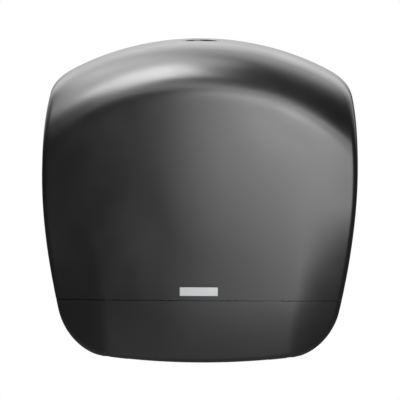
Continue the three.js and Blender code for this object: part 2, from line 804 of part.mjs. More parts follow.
// Pieces on the spindle, with y measured from the wall and z from the spindle axis.
const postBack = padFront - seatGap;
const postFlangeFront = postBack - postFlangeLength;
const brakeWasherBack = postFlangeFront - seatGap - brakeRoom - seatGap;
const hubBack = brakeWasherBack - brakeWasherLength - seatGap;
const postFront = hubFrontRoom + coverWall + hubCapLength + seatGap + hubCupLength - casingDepth;
const hubBearingFront = postFront + seatGap * 2;
const hubFront = postFront - hubCupLength;

function spindlePost() {
  const bore = postRadius - postWall;
  const body = turned([
    [bore, postBack],
    [bore, postFront + postEndLength],
    [screwHoleRadius, postFront + postEndLength],
    [screwHoleRadius, postFront],
    [postRadius, postFront],
    [postRadius, postFlangeFront],
    [postFlangeRadius, postFlangeFront],
    [postFlangeRadius, postBack],
    [bore, postBack],
  ]);
  const holes = spindleScrewPlaces().map((place) => (
    rod("y", screwHoleRadius, -overrun, overrun, place, smallSides)
  ));
  return cut(body, ...holes);
}

function rollHub() {
  const bore = postRadius + runningGap;
  const inner = hubBarrelRadius - hubBarrelWall;
  const barrel = turned([
    [bore, hubBack],
    [bore, hubBack - hubBearingLength],
    [inner, hubBack - hubBearingLength],
    [inner, hubBearingFront + hubBearingLength],
    [bore, hubBearingFront + hubBearingLength],
    [bore, hubBearingFront],
    [inner, hubBearingFront],
    [inner, hubFront],
    [hubBarrelRadius, hubFront],
    [hubBarrelRadius, hubBack - hubFlangeLength],
    [hubFlangeRadius, hubBack - hubFlangeLength],
    [hubFlangeRadius, hubBack],
    [bore, hubBack],
  ]);
  // Fins hold the roll's core, and slope at the front to lead it on.
  const fin = new THREE.Shape([
    new THREE.Vector2(hubBarrelRadius - hubBarrelWall / 2, hubBack - hubFlangeLength / 2),
    new THREE.Vector2(hubFinRadius, hubBack - hubFlangeLength / 2),
    new THREE.Vector2(hubFinRadius, hubFront + hubFinLead),
    new THREE.Vector2(hubBarrelRadius, hubFront),
    new THREE.Vector2(hubBarrelRadius - hubBarrelWall / 2, hubFront),
  ]);
  const options = { depth: hubFinWall, bevelEnabled: false };
  let body = barrel;
  for (let i = 0; i < hubFinCount; i += 1) {
    const geometry = new THREE.ExtrudeGeometry(fin, options).translate(0, 0, -hubFinWall / 2);
    body = join(body, solid(geometry.rotateY((2 * Math.PI * i) / hubFinCount)));
  }
  return body;
}

function hubCap() {
  const plug = hubBarrelRadius - hubBarrelWall - seatGap;
  const back = hubFront - seatGap;
  return turned([
    [0, back],
    [plug - hubCapPlugWall, back],
    [plug - hubCapPlugWall, back + hubCapPlugLength],
    [plug, back + hubCapPlugLength],
    [plug, back],
    [hubBarrelRadius, back],
    [hubBarrelRadius, back + hubCapRound - hubCapLength],
    [hubBarrelRadius - hubCapRound, back - hubCapLength],
    [0, back - hubCapLength],
  ]);
}

function ring(innerRadius, outerRadius, back, front) {
  return turned([
    [innerRadius, back],
    [outerRadius, back],
    [outerRadius, front],
    [innerRadius, front],
    [innerRadius, back],
  ]);
}

function keeper() {
  const back = padFront - seatGap;
  const armHigh = keeperArmLow + keeperArmWall;
  const body = join(
    block(-keeperHalfWidth, keeperHalfWidth, back - keeperFlangeWall, back, keeperArmLow - keeperFlangeHeight, armHigh),
    block(-keeperHalfWidth, keeperHalfWidth, -keeperReach, back, keeperArmLow, armHigh),
    block(-keeperHalfWidth, keeperHalfWidth, -keeperReach, lipBack, lipLow, armHigh),
  );
  const holes = keeperScrewPlaces().map((place) => (
    rod("y", screwHoleRadius, -overrun, overrun, place, smallSides)
  ));
  return cut(body, ...holes);
}

// Pieces of the lock, with x and y measured from the axis of the button.
function lockBezel() {
  const blank = oval(bezelHalfLength, bezelHalfWidth, dishTop - dishFloor, casingHeight + overrun)
    .translate([0, -lockFromWall, 0])
    .intersect(casingBody(0, 0))
    .translate([0, lockFromWall, 0]);
  return cut(
    blank,
    oval(bezelHalfLength - bezelRim, bezelHalfWidth - bezelRim, dishTop, casingHeight + overrun),
    rod("z", buttonRadius + seatGap, -overrun, casingHeight),
  );
}

function pushButton() {
  const top = dishTop + buttonStand;
  const body = turnedUpright([
    [0, nibLow],
    [nibRadius, nibLow],
    [nibRadius, nibLow + nibLength],
    [stemRadius, nibLow + nibLength],
    [stemRadius, flangeLow],
    [buttonFlangeRadius, flangeLow],
    [buttonFlangeRadius, flangeTop],
    [buttonRadius, flangeTop],
    [buttonRadius, top - buttonChamfer],
    [buttonRadius - buttonChamfer, top],
    [0, top],
  ]);
  return cut(body, rod("z", plugRadius + seatGap, top - plugDepth, casingHeight, {}, smallSides));
}

function keyPlug() {
  const top = dishTop + buttonStand;
  const body = rod("z", plugRadius, top - plugDepth + seatGap, top, {}, smallSides);
  return cut(body, block(-keySlotLength / 2, keySlotLength / 2, -keySlotWidth / 2, keySlotWidth / 2,
    top - keySlotDepth, top + overrun));
}

function lockHousing() {
  const inner = buttonFlangeRadius + runningGap;
  const outer = inner + cupWall;
  const cupTop = flangeTop;
  const earTop = flangeTop - housingEarDrop;
  const ear = block(-housingEarX, housingEarX, -housingEarWidth / 2, housingEarWidth / 2,
    earTop - housingEarWall, earTop);
  const pivot = { y: -leverArm, z: leverPivotZ };
  const cheekIn = leverHalfWidth + runningGap;
  let body = join(rod("z", outer, cupLow, cupTop), ear);
  sides.forEach(([, side]) => {
    const near = Math.min(side * cheekIn, side * (cheekIn + cheekWall));
    const far = Math.max(side * cheekIn, side * (cheekIn + cheekWall));
    const end = rod("z", housingEarWidth / 2, earTop - housingEarWall, earTop, { x: side * housingEarX });
    body = join(
      body,
      end,
      rod("x", cheekEyeRadius, near, far, pivot, smallSides),
      block(near, far, -leverArm - cheekEyeRadius, -outer / 2, leverPivotZ, cupLow + 2 * cupFloor),
    );
  });
  const webFront = -leverArm + leverEyeRadius + runningGap;
  const web = block(-cheekIn - cheekWall, cheekIn + cheekWall, webFront, -outer / 2,
    cupLow, cupLow + cupFloor);
  body = join(body, web);
  const holes = sides.map(([, side]) => (
    rod("z", screwHoleRadius, earTop - overrun, earTop + overrun, { x: side * housingEarX }, smallSides)
  ));
  return cut(
    body,
    rod("z", inner, springLow - seatGap, casingHeight),
    rod("z", stemRadius + runningGap, -overrun, casingHeight, {}, smallSides),
    rod("x", latchPinRadius + seatGap, -overrun, overrun, pivot, smallSides),
    ...holes,
  );
}

// The latch lever, with y and z measured from its pivot.
function latchLever() {
  const toothFront = lipBack + runningGap - leverPivotY;
  const toothBack = toothFront + toothLength;
  const top = leverTop - leverPivotZ;
  const low = leverLow - leverPivotZ;
  const bar = crosswise([
    [0, low],
    [toothBack, low],
    [toothBack, top + toothHeight * toothBackShare],
    [toothFront, top + toothHeight],
    [toothFront, top],
    [0, top],
  ], -leverHalfWidth, leverHalfWidth);
  return cut(
    join(bar, rod("x", leverEyeRadius, -leverHalfWidth, leverHalfWidth, {}, smallSides)),
    rod("x", latchPinRadius + seatGap, -overrun, overrun, {}, smallSides),
  );
}

// Assembly
const dispenser = new THREE.Group();

// Everything in the casing is placed by its height above the bottom of the casing.
const casing = new THREE.Group();
casing.position.z = -spindleHeight;
dispenser.add(casing);

addPiece(casing, "back_plate", backPlate(), materials.chassis);
addPiece(casing, "front_cover", frontCover(), materials.cover);
addPiece(casing, "lower_cover", lowerCover(), materials.cover);
addPiece(casing, "outlet_tray", outletTray(), materials.chassis);
addPiece(casing, "latch_keeper", keeper(), materials.steel);

const plateSeat = frontPoint(0, seamHeight + nameplateAboveSeam);
const nameplateBody = block(-nameplateWidth / 2, nameplateWidth / 2, -nameplateThickness, 0,
  -nameplateHeight / 2, nameplateHeight / 2);
const nameplate = addPiece(casing, "nameplate", nameplateBody, materials.badge);
nameplate.position.set(0, plateSeat.y + nameplatePocket - seatGap, plateSeat.z);

// Hinge pins and bushes.
const pinLength = earInnerX + earWall + bushFlangeLength * 2 - pinSeat;
sides.forEach(([name, side]) => {
  const pinBody = join(
    rod("x", hingePinRadius, 0, pinLength, {}, smallSides),
    rod("x", hingePinHeadRadius, -hingePinHeadLength, 0, {}, smallSides),
  );
  const pin = addPiece(casing, "hinge_pin_" + name, pinBody, materials.steel);
  pin.position.set(side * pinSeat, -hingeFromWall, hingeHeight);
  pin.rotation.z = side > 0 ? 0 : Math.PI;
  const bushInner = hingePinRadius + seatGap;
  const bushBody = cut(
    join(
      rod("x", bushInner + bushWall, 0, earWall + seatGap),
      rod("x", bushFlangeRadius, earWall + seatGap, earWall + seatGap + bushFlangeLength),
    ),
    rod("x", bushInner, -overrun, overrun, {}, smallSides),
  );
  const bush = addPiece(casing, "hinge_bush_" + name, bushBody, materials.lock);
  bush.position.set(side * earInnerX, -hingeFromWall, hingeHeight);
  bush.rotation.z = side > 0 ? 0 : Math.PI;
});

// Screws that hold the lower cover, from below.
bossPlaces().forEach(({ name, x, y }) => {
  const z = seamHeight - seamGap / 2 - tabWall - seatGap;
  addScrew(casing, "cover_screw_" + name, coverScrewShank, { x, y, z }, { x: Math.PI / 2 });
});

// Tray, keeper and their screws.
trayScrewPlaces().forEach(({ x, z }, i) => {
  const y = padFront - seatGap - trayFlangeWall - seatGap;
  addScrew(casing, "tray_screw_" + sides[i][0], plateScrewShank, { x, y, z });
});
keeperScrewPlaces().forEach(({ x, z }, i) => {
  const y = padFront - seatGap - keeperFlangeWall - seatGap;
  addScrew(casing, "keeper_screw_" + sides[i][0], plateScrewShank, { x, y, z });
});

// Tear strips on both long sides of the outlet.
sides.forEach(([name, side]) => {
  const strip = addPiece(casing, "tear_strip_" + name, tearStrip(), materials.steel);
  strip.position.x = side > 0 ? outletHalfWidth - seatGap - stripThickness : -outletHalfWidth + seatGap;
  stripScrewPlaces().forEach(({ y, z }, i) => {
    const x = side * (outletHalfWidth - seatGap * 2 - stripThickness);
    const place = ["front", "rear"][1 - i];
    addScrew(casing, "strip_screw_" + name + "_" + place, stripScrewShank, { x, y, z },
      { z: side > 0 ? -Math.PI / 2 : Math.PI / 2 });
  });
});

// Spindle, brake and hub.
const spindle = new THREE.Group();
spindle.position.z = spindleHeight;
casing.add(spindle);
addPiece(spindle, "spindle_post", spindlePost(), materials.chassis);
spindleScrewPlaces().forEach(({ x, z }, i) => {
  const y = postFlangeFront - seatGap;
  addScrew(spindle, "post_screw_" + (i + 1), postScrewShank, { x, y, z });
});
const brakeSpringBody = coil(brakeSpringRadius, brakeWireRadius, brakeSpringTurns, 0, brakeRoom);
const brakeSpring = addPiece(spindle, "brake_spring", brakeSpringBody, materials.steel);
brakeSpring.position.y = postFlangeFront - seatGap;
brakeSpring.rotation.x = Math.PI / 2;
addPiece(spindle, "brake_washer",
  ring(postRadius + runningGap, brakeWasherRadius, brakeWasherBack, brakeWasherBack - brakeWasherLength), materials.felt);
addPiece(spindle, "roll_hub", rollHub(), materials.hub);
addPiece(spindle, "hub_cap", hubCap(), materials.hub);
const endWasherBack = postFront - seatGap;
addPiece(spindle, "end_washer",
  ring(screwHoleRadius, endWasherRadius, endWasherBack, endWasherBack - endWasherLength), materials.steel);
addScrew(spindle, "spindle_screw", postEndLength, { x: 0, y: endWasherBack - endWasherLength - seatGap, z: 0 });

// Lock and latch.
const lock = new THREE.Group();
lock.position.y = -lockFromWall;
casing.add(lock);
addPiece(lock, "lock_bezel", lockBezel(), materials.cover);
addPiece(lock, "lock_housing", lockHousing(), materials.lock);
addPiece(lock, "push_button", pushButton(), materials.lock);
addPiece(lock, "key_plug", keyPlug(), materials.steel);
addPiece(lock, "button_spring",
  coil(buttonSpringRadius, buttonWireRadius, buttonSpringTurns, springLow, springLow + springRoom),
  materials.steel);
sides.forEach(([name, side]) => {
  const z = flangeTop - housingEarDrop - housingEarWall - seatGap;
  addScrew(lock, "housing_screw_" + name, coverScrewShank, { x: side * housingEarX, y: 0, z }, { x: Math.PI / 2 });
});
const latch = new THREE.Group();
latch.position.set(0, -leverArm, leverPivotZ);
lock.add(latch);
addPiece(latch, "latch_lever", latchLever(), materials.lock);
const pinReach = leverHalfWidth + runningGap + cheekWall + latchPinOver;
addPiece(latch, "latch_pin", rod("x", latchPinRadius, -pinReach, pinReach, {}, smallSides), materials.steel);

export default dispenser;
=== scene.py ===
# %% [markdown]
# # A wall-mounted dispenser for one jumbo toilet roll
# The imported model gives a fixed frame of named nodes, each on the body that it moves with. This lesson dresses
# that frame: it builds the moulded casing, lock, hub and screws finely, and gives each one a finish.
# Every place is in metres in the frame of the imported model, so the frame comes first and nothing is moved after.

# %% The frame
import math

import bmesh
import bpy
from mathutils import Matrix, Quaternion, Vector
from mathutils.bvhtree import BVHTree


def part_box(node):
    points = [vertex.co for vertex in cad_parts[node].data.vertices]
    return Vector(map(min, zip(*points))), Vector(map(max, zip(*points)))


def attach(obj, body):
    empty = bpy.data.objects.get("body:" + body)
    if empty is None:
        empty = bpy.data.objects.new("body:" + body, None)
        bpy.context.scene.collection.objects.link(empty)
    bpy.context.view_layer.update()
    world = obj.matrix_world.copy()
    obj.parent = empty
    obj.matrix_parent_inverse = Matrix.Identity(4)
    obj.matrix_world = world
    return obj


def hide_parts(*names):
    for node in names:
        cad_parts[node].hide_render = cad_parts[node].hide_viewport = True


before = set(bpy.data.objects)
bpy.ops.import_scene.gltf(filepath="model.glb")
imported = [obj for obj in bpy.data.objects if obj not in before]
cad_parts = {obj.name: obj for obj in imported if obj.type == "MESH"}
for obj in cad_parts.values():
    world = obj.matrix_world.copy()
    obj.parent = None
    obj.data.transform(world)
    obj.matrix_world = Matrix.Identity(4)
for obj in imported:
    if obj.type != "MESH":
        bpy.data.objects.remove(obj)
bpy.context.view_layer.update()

MM = 0.001
scene = bpy.context.scene

# %% [markdown]
# ## The camera
# The casing is seen from straight in front, a touch from above and from the right, so its sides hardly show. A
# camera without perspective would come close, but a long lens also gives the slight narrowing with depth. Its
# length follows from the scale of the picture, in pixels a millimetre, at five metres from the casing's middle.

# %% Camera
aim = Vector((0, -0.066, 0.009))
distance, sensor_mm = 5.0, 36
picture_pixels, pixels_per_mm, shift_pixels = 400, 1.0274, (0.11, 0.36)
view_azimuth, view_elevation, view_roll = 0.53, 0.8, 0.34


def towards(azimuth, elevation):
    """The way from the casing to a place, in degrees: azimuth 0 is straight in front, and positive is right."""
    az, el = math.radians(azimuth), math.radians(elevation)
    return Vector((math.sin(az) * math.cos(el), -math.cos(az) * math.cos(el), math.sin(el)))


camera_data = bpy.data.cameras.new("camera")
camera_data.sensor_width = sensor_mm
camera_data.lens = sensor_mm * distance / (picture_pixels / pixels_per_mm * MM)
camera_data.shift_x, camera_data.shift_y = (shift / picture_pixels for shift in shift_pixels)
camera = bpy.data.objects.new("camera", camera_data)
scene.collection.objects.link(camera)
view = towards(view_azimuth, view_elevation)
camera.location = aim + view * distance
camera.rotation_mode = "QUATERNION"
camera.rotation_quaternion = (-view).to_track_quat("-Z", "Y") @ Quaternion((0, 0, 1), math.radians(view_roll))
scene.camera = camera
scene.view_settings.view_transform = "Standard"
print("lens, mm:", round(camera_data.lens, 1))

# %% [markdown]
# ## The studio
# Black plastic has almost no colour of its own, so what is seen on it is the reflection of the room and the lamps.
# The world shows white to the camera. A glossy surface also sees that white, but only behind and above the casing,
# and a dim room elsewhere. A picture of a studio could do this. A shader on the direction of the ray does it with a
# few nodes and needs no picture. One small function adds a node, with its settings and what goes into its sockets.

# %% One function for nodes, and the world
def wire(tree, node, **inputs):
    """Links or plain values for a node's sockets, by name or, as _0, by number."""
    for key, value in inputs.items():
        socket = node.inputs[int(key[1:]) if key[0] == "_" else key.replace("_", " ")]
        if isinstance(value, bpy.types.NodeSocket):
            tree.links.new(value, socket)
        else:
            socket.default_value = value


def add(tree, kind, settings=None, **inputs):
    """One node, with its settings and its inputs."""
    made = tree.nodes.new(kind)
    for key, value in (settings or {}).items():
        setattr(made, key, value)
    wire(tree, made, **inputs)
    return made


dim_room, even_fill = 0.035, 0.22
world = bpy.data.worlds.new("studio")
scene.world = world
world.use_nodes = True
sky = world.node_tree
sky.nodes.clear()
path = add(sky, "ShaderNodeLightPath").outputs
direction = add(sky, "ShaderNodeTexCoord").outputs["Generated"]
parts = add(sky, "ShaderNodeSeparateXYZ", Vector=direction).outputs
eased_step = {"interpolation_type": "SMOOTHSTEP"}
behind = add(sky, "ShaderNodeMapRange", eased_step, Value=parts["Y"], From_Min=0.3, From_Max=0.9)
above = add(sky, "ShaderNodeMapRange", eased_step, Value=parts["Z"], From_Min=0.0, From_Max=0.22)
bright = add(sky, "ShaderNodeMath", {"operation": "MULTIPLY"}, _0=behind.outputs[0], _1=above.outputs[0])
room = add(sky, "ShaderNodeMapRange", Value=bright.outputs[0], To_Min=dim_room, To_Max=1.0)
shiny = add(sky, "ShaderNodeMath", {"operation": "MAXIMUM"}, _0=path["Is Glossy Ray"],
            _1=path["Is Transmission Ray"])
seen = add(sky, "ShaderNodeMix", {"data_type": "FLOAT"}, _0=shiny.outputs[0], _2=even_fill, _3=room.outputs[0])
shown = add(sky, "ShaderNodeMix", {"data_type": "FLOAT"}, _0=path["Is Camera Ray"], _2=seen.outputs[0], _3=1.0)
light = add(sky, "ShaderNodeBackground", Color=(1, 1, 1, 1), Strength=shown.outputs[0])
add(sky, "ShaderNodeOutputWorld", Surface=light.outputs[0])
print("world nodes:", len(sky.nodes))

# %% [markdown]
# A small bright softbox stands in front, a little to the right. Weaker ones stand at its left, right, upper left and
# upper right, and a wide one above it. Together they make the broad gleam on the front, while the left front stays
# dark. The nearest four are 0.8 m away, so the gleam fades from the top of the front to its bottom. Two weak ones
# lie low. One at the upper left in front and two overhead at the left draw the bright band on the shoulder. A wide
# one behind lights the rim of the top. Glowing panels would reflect the same way, but area lights render with less
# noise. Each is given by its place, the angle it fills and its radiance, so its power follows from its size.

# %% Softboxes
near, far = 0.8, 1.3
boxes = [("key", near, 20, 12, 10, 10, 12.57), ("key left", near, 6, 8, 14, 14, 4.41),
         ("key right", near, 28, 0, 24, 16, 3.49), ("key upper left", near, 12, 22, 24, 12, 5.16),
         ("key upper right", far, 36, 20, 16, 20, 2.71), ("key above", far, 20, 34, 28, 24, 3.24),
         ("low", far, 8, -6, 20, 20, 0.64), ("low fill", far, 0, -30, 60, 30, 0.28),
         ("front top", far, -20, 48, 40, 20, 1.94), ("overhead", far, -70, 72, 32, 32, 7.43),
         ("overhead behind", far, -120, 68, 46, 46, 2.95), ("rim", far, 180, 40, 60, 40, 0.93)]
for name, away, azimuth, elevation, wide, high, radiance in boxes:
    width, height = (2 * away * math.tan(math.radians(angle / 2)) for angle in (wide, high))
    lamp_data = bpy.data.lights.new(name, "AREA")
    lamp_data.shape = "RECTANGLE"
    lamp_data.size, lamp_data.size_y = width, height
    lamp_data.energy = radiance * math.pi * width * height
    lamp = bpy.data.objects.new(name, lamp_data)
    scene.collection.objects.link(lamp)
    place = aim + towards(azimuth, elevation) * away
    lamp.location = place
    lamp.rotation_mode = "QUATERNION"
    lamp.rotation_quaternion = (aim - place).to_track_quat("-Z", "Y")
    lamp.visible_camera = False
    print(name, "power, W:", round(lamp_data.energy, 1))

# %% [markdown]
# ## Finishes
# Each material starts from what the real part is made of. Photographs of surfaces could be laid on, but patterns of
# nodes stay sharp close up and need no unwrapping. Colours are written as sRGB hex values and turned to linear in
# one place. Patterns are sized in millimetres: one_per(size) is the scale of a noise whose grains are that wide.
# Most finishes share one build: a pattern mixes two tones, another one gives the relief, and a range of the first
# one gives the gloss.

# %% Colour, scale and the common build
def linear(colour, share=1.0):
    """An sRGB hex value as linear RGBA, or a share of its brightness."""
    values = [int(colour[i:i + 2], 16) / 255 for i in (1, 3, 5)]
    return (*[(v / 12.92 if v <= 0.04045 else ((v + 0.055) / 1.055) ** 2.4) * share for v in values], 1)


def one_per(size_mm):
    return 1 / (size_mm * MM)


def new_material(name):
    """An empty material, its tree and its surface shader."""
    made = bpy.data.materials.new(name)
    made.use_nodes = True
    tree = made.node_tree
    tree.nodes.clear()
    surface = add(tree, "ShaderNodeBsdfPrincipled")
    add(tree, "ShaderNodeOutputMaterial", Surface=surface.outputs[0])
    return made, tree, surface


def toned(tree, surface, pattern, dark, pale, relief, strength, height_mm, **more):
    """Mixes two tones by a pattern, lays a relief over them, and sets more inputs of the surface."""
    tint = add(tree, "ShaderNodeMix", {"data_type": "RGBA"}, _0=pattern, _6=dark, _7=pale)
    bump = add(tree, "ShaderNodeBump", Strength=strength, Distance=height_mm * MM, Height=relief)
    wire(tree, surface, Base_Color=tint.outputs[2], Normal=bump.outputs[0], **more)


def gloss_from(tree, pattern, roughness, spread):
    """A roughness that wanders with a pattern."""
    return add(tree, "ShaderNodeMapRange", Value=pattern, From_Min=0.3, From_Max=0.7,
               To_Min=roughness - spread, To_Max=roughness + spread).outputs[0]


print("half-bright grey, linear:", round(linear("#808080")[0], 3))

# %% [markdown]
# Moulded thermoplastic: the mould's surface is eroded by sparks, which leaves a matt grain of a few tenths of a
# millimetre. The grain is drawn at 0.5 mm, a little coarser than real, so that it shows at all. Cloudy changes in
# gloss come from the flow of the melt, and handling polishes the surface a little in patches. Displaced geometry
# could carry the grain too, but a bump is enough for a hundredth of a millimetre. Plain ABS has an IOR of 1.53.
# The casing gleams more strongly than that in the photograph, so its IOR is matched to it at 1.72.

# %% Moulded plastic
cloud_mm, dark_share = 60, 0.93


def moulded(name, colour, roughness, ior, grain_mm, grain_height_mm, cloud=0.05):
    material, tree, surface = new_material(name)
    place = add(tree, "ShaderNodeTexCoord").outputs["Object"]
    grain = add(tree, "ShaderNodeTexNoise", Vector=place, Scale=one_per(grain_mm), Detail=2.0, Roughness=0.6)
    clouds = add(tree, "ShaderNodeTexNoise", Vector=place, Scale=one_per(cloud_mm), Detail=3.0, Roughness=0.55)
    toned(tree, surface, clouds.outputs[0], linear(colour, dark_share), linear(colour), grain.outputs[0],
          strength=0.5, height_mm=grain_height_mm, IOR=ior,
          Roughness=gloss_from(tree, clouds.outputs[0], roughness, cloud))
    return material


black_abs = moulded("moulded satin ABS, black", "#101011", 0.32, 1.72, 0.5, 0.012, cloud=0.04)
grey_abs = moulded("moulded ABS, dark grey", "#3a3b3d", 0.5, 1.53, 0.5, 0.015)
polypropylene = moulded("moulded polypropylene, mid grey", "#6d7073", 0.45, 1.49, 0.8, 0.01)
acetal = moulded("moulded acetal, grey", "#4a4b4d", 0.36, 1.48, 0.6, 0.006)
print("black, linear:", [round(c, 4) for c in linear("#101011")[:3]])

# %% [markdown]
# Metal parts: the bare nameplate is aluminium with a satin brushed along its length. Screws, washers and the latch
# keeper are steel with a bright zinc plate, which has a faint cloudiness of its crystals. A metal keeps its colour
# in the reflection, so metallic is 1. Brushing could be given by the shader's anisotropy. A noise stretched along
# the strokes shows the strokes themselves.

# %% Metal
brushed_stretch, dull_share, gloss_spread = 40, 0.86, 0.06


def metal(name, colour, roughness, grain_mm, brushed=False):
    material, tree, surface = new_material(name)
    place = add(tree, "ShaderNodeTexCoord").outputs["Object"]
    if brushed:
        # Brushing runs along x.
        place = add(tree, "ShaderNodeMapping", Vector=place, Scale=(1 / brushed_stretch, 1, 1)).outputs[0]
    fine = add(tree, "ShaderNodeTexNoise", Vector=place, Scale=one_per(grain_mm), Detail=3.0).outputs[0]
    toned(tree, surface, fine, linear(colour, dull_share), linear(colour), fine, strength=0.4, height_mm=0.004,
          Roughness=gloss_from(tree, fine, roughness, gloss_spread), Metallic=1.0)
    return material


aluminium = metal("brushed satin aluminium", "#d4d5d6", 0.4, 0.35, brushed=True)
zinc = metal("bright zinc-plated steel", "#c3c5c8", 0.3, 1.5)
spring_steel = metal("drawn spring steel", "#9a9da1", 0.28, 0.8)
print("materials so far:", len(bpy.data.materials))

# %% [markdown]
# The brake washer is pressed wool felt: short matted fibres of about 0.1 mm. Hair strands could show each of them,
# but it sits deep inside, so a noise of 0.6 mm is enough, with a soft sheen at its edges and no gloss.

# %% Felt
felt, tree, surface = new_material("pressed wool felt")
place = add(tree, "ShaderNodeTexCoord").outputs["Object"]
fibres = add(tree, "ShaderNodeTexNoise", Vector=place, Scale=one_per(0.6), Detail=6.0, Roughness=0.8,
             Distortion=1.5).outputs[0]
toned(tree, surface, fibres, linear("#6f685d"), linear("#9a9387"), fibres, strength=0.8, height_mm=0.15,
      Roughness=0.95, Sheen_Weight=0.3)

# %% [markdown]
# ## The floor
# A painted board lies far below the casing. Most of its paleness is its own, an emission that only the camera sees,
# so that it stays even far from the lamps. The rest comes from the lamps, so that it takes a shadow. Stronger lamps
# could whiten it as well, but they would change the light on the casing. The grid is made with bmesh, as every
# piece is, so the step from a bmesh to an object of the scene gets a function.

# %% Floor
def as_object(bm, name="part"):
    mesh = bpy.data.meshes.new(name)
    bm.to_mesh(mesh)
    bm.free()
    made = bpy.data.objects.new(name, mesh)
    scene.collection.objects.link(made)
    return made


floor_size, floor_place, own_paleness = 12, (0, -0.1, -1.1), 0.75
floor_bm = bmesh.new()
bmesh.ops.create_grid(floor_bm, x_segments=1, y_segments=1, size=floor_size,
                      matrix=Matrix.Translation(floor_place))
floor = as_object(floor_bm, "floor")
paint, tree, surface = new_material("studio floor, pale paint")
wire(tree, surface, Base_Color=linear("#9c9c9a"), Roughness=0.9)
own_tone = add(tree, "ShaderNodeEmission", Color=linear("#f6f6f6"))
own_share = add(tree, "ShaderNodeMath", {"operation": "MULTIPLY"},
                _0=add(tree, "ShaderNodeLightPath").outputs["Is Camera Ray"], _1=own_paleness)
output = surface.outputs[0].links[0].to_node
mixed = add(tree, "ShaderNodeMixShader", _0=own_share.outputs[0], _1=surface.outputs[0], _2=own_tone.outputs[0])
wire(tree, output, Surface=mixed.outputs[0])
floor.data.materials.append(paint)
print("floor, m under the spindle:", -floor_place[2])

# %% [markdown]
# ## The form of the casing
# The casing is one moulded form. Seen from the front, its outline is six smooth curves on each side. A curve object
# could hold them, but each ring of the skin has to have the same points in the same order, so they are worked out
# as cubic runs with a fixed number of steps. inset moves an outline inwards, at right angles to itself.

# %% Outline, in millimetres
casing_width, casing_height, casing_depth = 310, 318, 132
outline_runs = [
    ((0.282, 1), (0.563, 0.968), (0.811, 0.904)),
    ((0.884, 0.885), (0.944, 0.86), (0.961, 0.822)),
    ((0.992, 0.753), (1, 0.67), (1, 0.59)),
    ((1, 0.45), (0.953, 0.3), (0.891, 0.165)),
    ((0.857, 0.091), (0.735, 0.028), (0.598, 0.019)),
    ((0.397, 0.006), (0.2, 0), (0, 0)),
]
outline_steps = [24, 16, 16, 20, 26, 16]


def flat_place(share):
    return Vector((share[0] * casing_width / 2, share[1] * casing_height))


def inset(points, distance):
    moved = []
    for i, point in enumerate(points):
        along = (points[(i + 1) % len(points)] - points[i - 1]).normalized()
        moved.append(Vector((point.x + along.y * distance, point.y - along.x * distance)))
    return moved


def casing_outline(under=0.0):
    """The outline as seen from the front, clockwise from the top middle, moved inwards by under."""
    half = [flat_place((0, 1))]
    for run, steps in zip(outline_runs, outline_steps):
        a, b, c, d = half[-1], *map(flat_place, run)
        for i in range(1, steps + 1):
            t = i / steps
            half.append(a * (1 - t) ** 3 + b * 3 * t * (1 - t) ** 2 + c * 3 * t * t * (1 - t) + d * t ** 3)
    return inset(half + [Vector((-p.x, p.y)) for p in reversed(half[1:-1])], under)


print("outline points:", len(casing_outline()))

# %% [markdown]
# The front is gently crowned. At the top, a shoulder falls to the domed edge in a quarter of an ellipse. Low down,
# the front also turns back towards the sides by up to 18 degrees, less further up. Sculpting would give softer
# forms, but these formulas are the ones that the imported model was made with, so the fine skin lies on it. One thing
# is added: the shoulder's curve sets in gently over 14 mm, because a sudden start shows as a thin line in the gleam.

# %% Depth of the front, in millimetres
side_crown, lower_lean, seam_height = 12, 4, 63.5
turn_start, turn_spread, turn_height, turn_blend = 0.53, 0.15, 0.5, 10
turn_slope = math.tan(math.radians(18))
bend_start, bend_radius = 0.42, 290
shoulder_height, shoulder_depth, shoulder_ease = 50, 80, 0.14
arc_reach, arc_drop = outline_runs[0][2][0] * casing_width / 2, (1 - outline_runs[0][2][1]) * casing_height
arc_radius = (arc_reach ** 2 + arc_drop ** 2) / (2 * arc_drop)


def front_depth(x, z, under=0.0):
    """How far the front stands out from the wall at a flat place, or a skin that lies under it."""
    depth = casing_depth - under - side_crown * (2 * x / casing_width) ** 2
    if z < seam_height:
        depth -= lower_lean * (1 - z / seam_height) ** 2
    past = max(abs(x) - turn_start * casing_width / 2 - turn_spread * z, 0)
    fade = max(1 - (z / (turn_height * casing_height)) ** 2, 0) ** 2
    depth -= fade * turn_slope * (math.hypot(past, turn_blend) - turn_blend)
    bend = max(abs(x) - bend_start * casing_width / 2, 0) ** 2 / (2 * bend_radius)
    arc_height = casing_height - arc_radius + math.sqrt(max(arc_radius ** 2 - x * x, 0))
    above = 1 - max(arc_height - under - z, 0) / (shoulder_height + bend - under)
    rise = max(above, 0)
    eased = max(above + shoulder_ease, 0) ** 3 / (12 * shoulder_ease)
    if above > shoulder_ease:
        eased = above * above / 2 + shoulder_ease ** 2 / 6
    return depth - (shoulder_depth - under) * (1 - math.sqrt(1 - rise * rise) - rise * rise / 2 + eased)


print("front at the middle, mm from the wall:", round(front_depth(0, casing_height / 2), 2))

# %% [markdown]
# A moulded part has draft: its sides draw in towards the room by 1.5 degrees and its top by 5, so that it leaves the
# mould. A lattice could taper the finished form. Here each flat place and depth is turned into its point at once, so
# that holes and bosses can be placed by the same formula.

# %% Flat places as points of the frame
side_draft, top_draft = math.tan(math.radians(1.5)), math.tan(math.radians(5))
spindle_height = 150


def drafted(x, z, depth):
    """A flat place and a depth in mm as a point of the frame in metres."""
    across = x * (1 - 2 * depth * side_draft / casing_width)
    up = z - depth * top_draft * z / casing_height + depth * side_draft * (1 - z / casing_height)
    return Vector((across, -depth, up - spindle_height)) * MM


def at_height(x, y, height):
    """A point of the frame in metres from x, y and the height above the casing's bottom in mm."""
    return Vector((x, y, height - spindle_height)) * MM


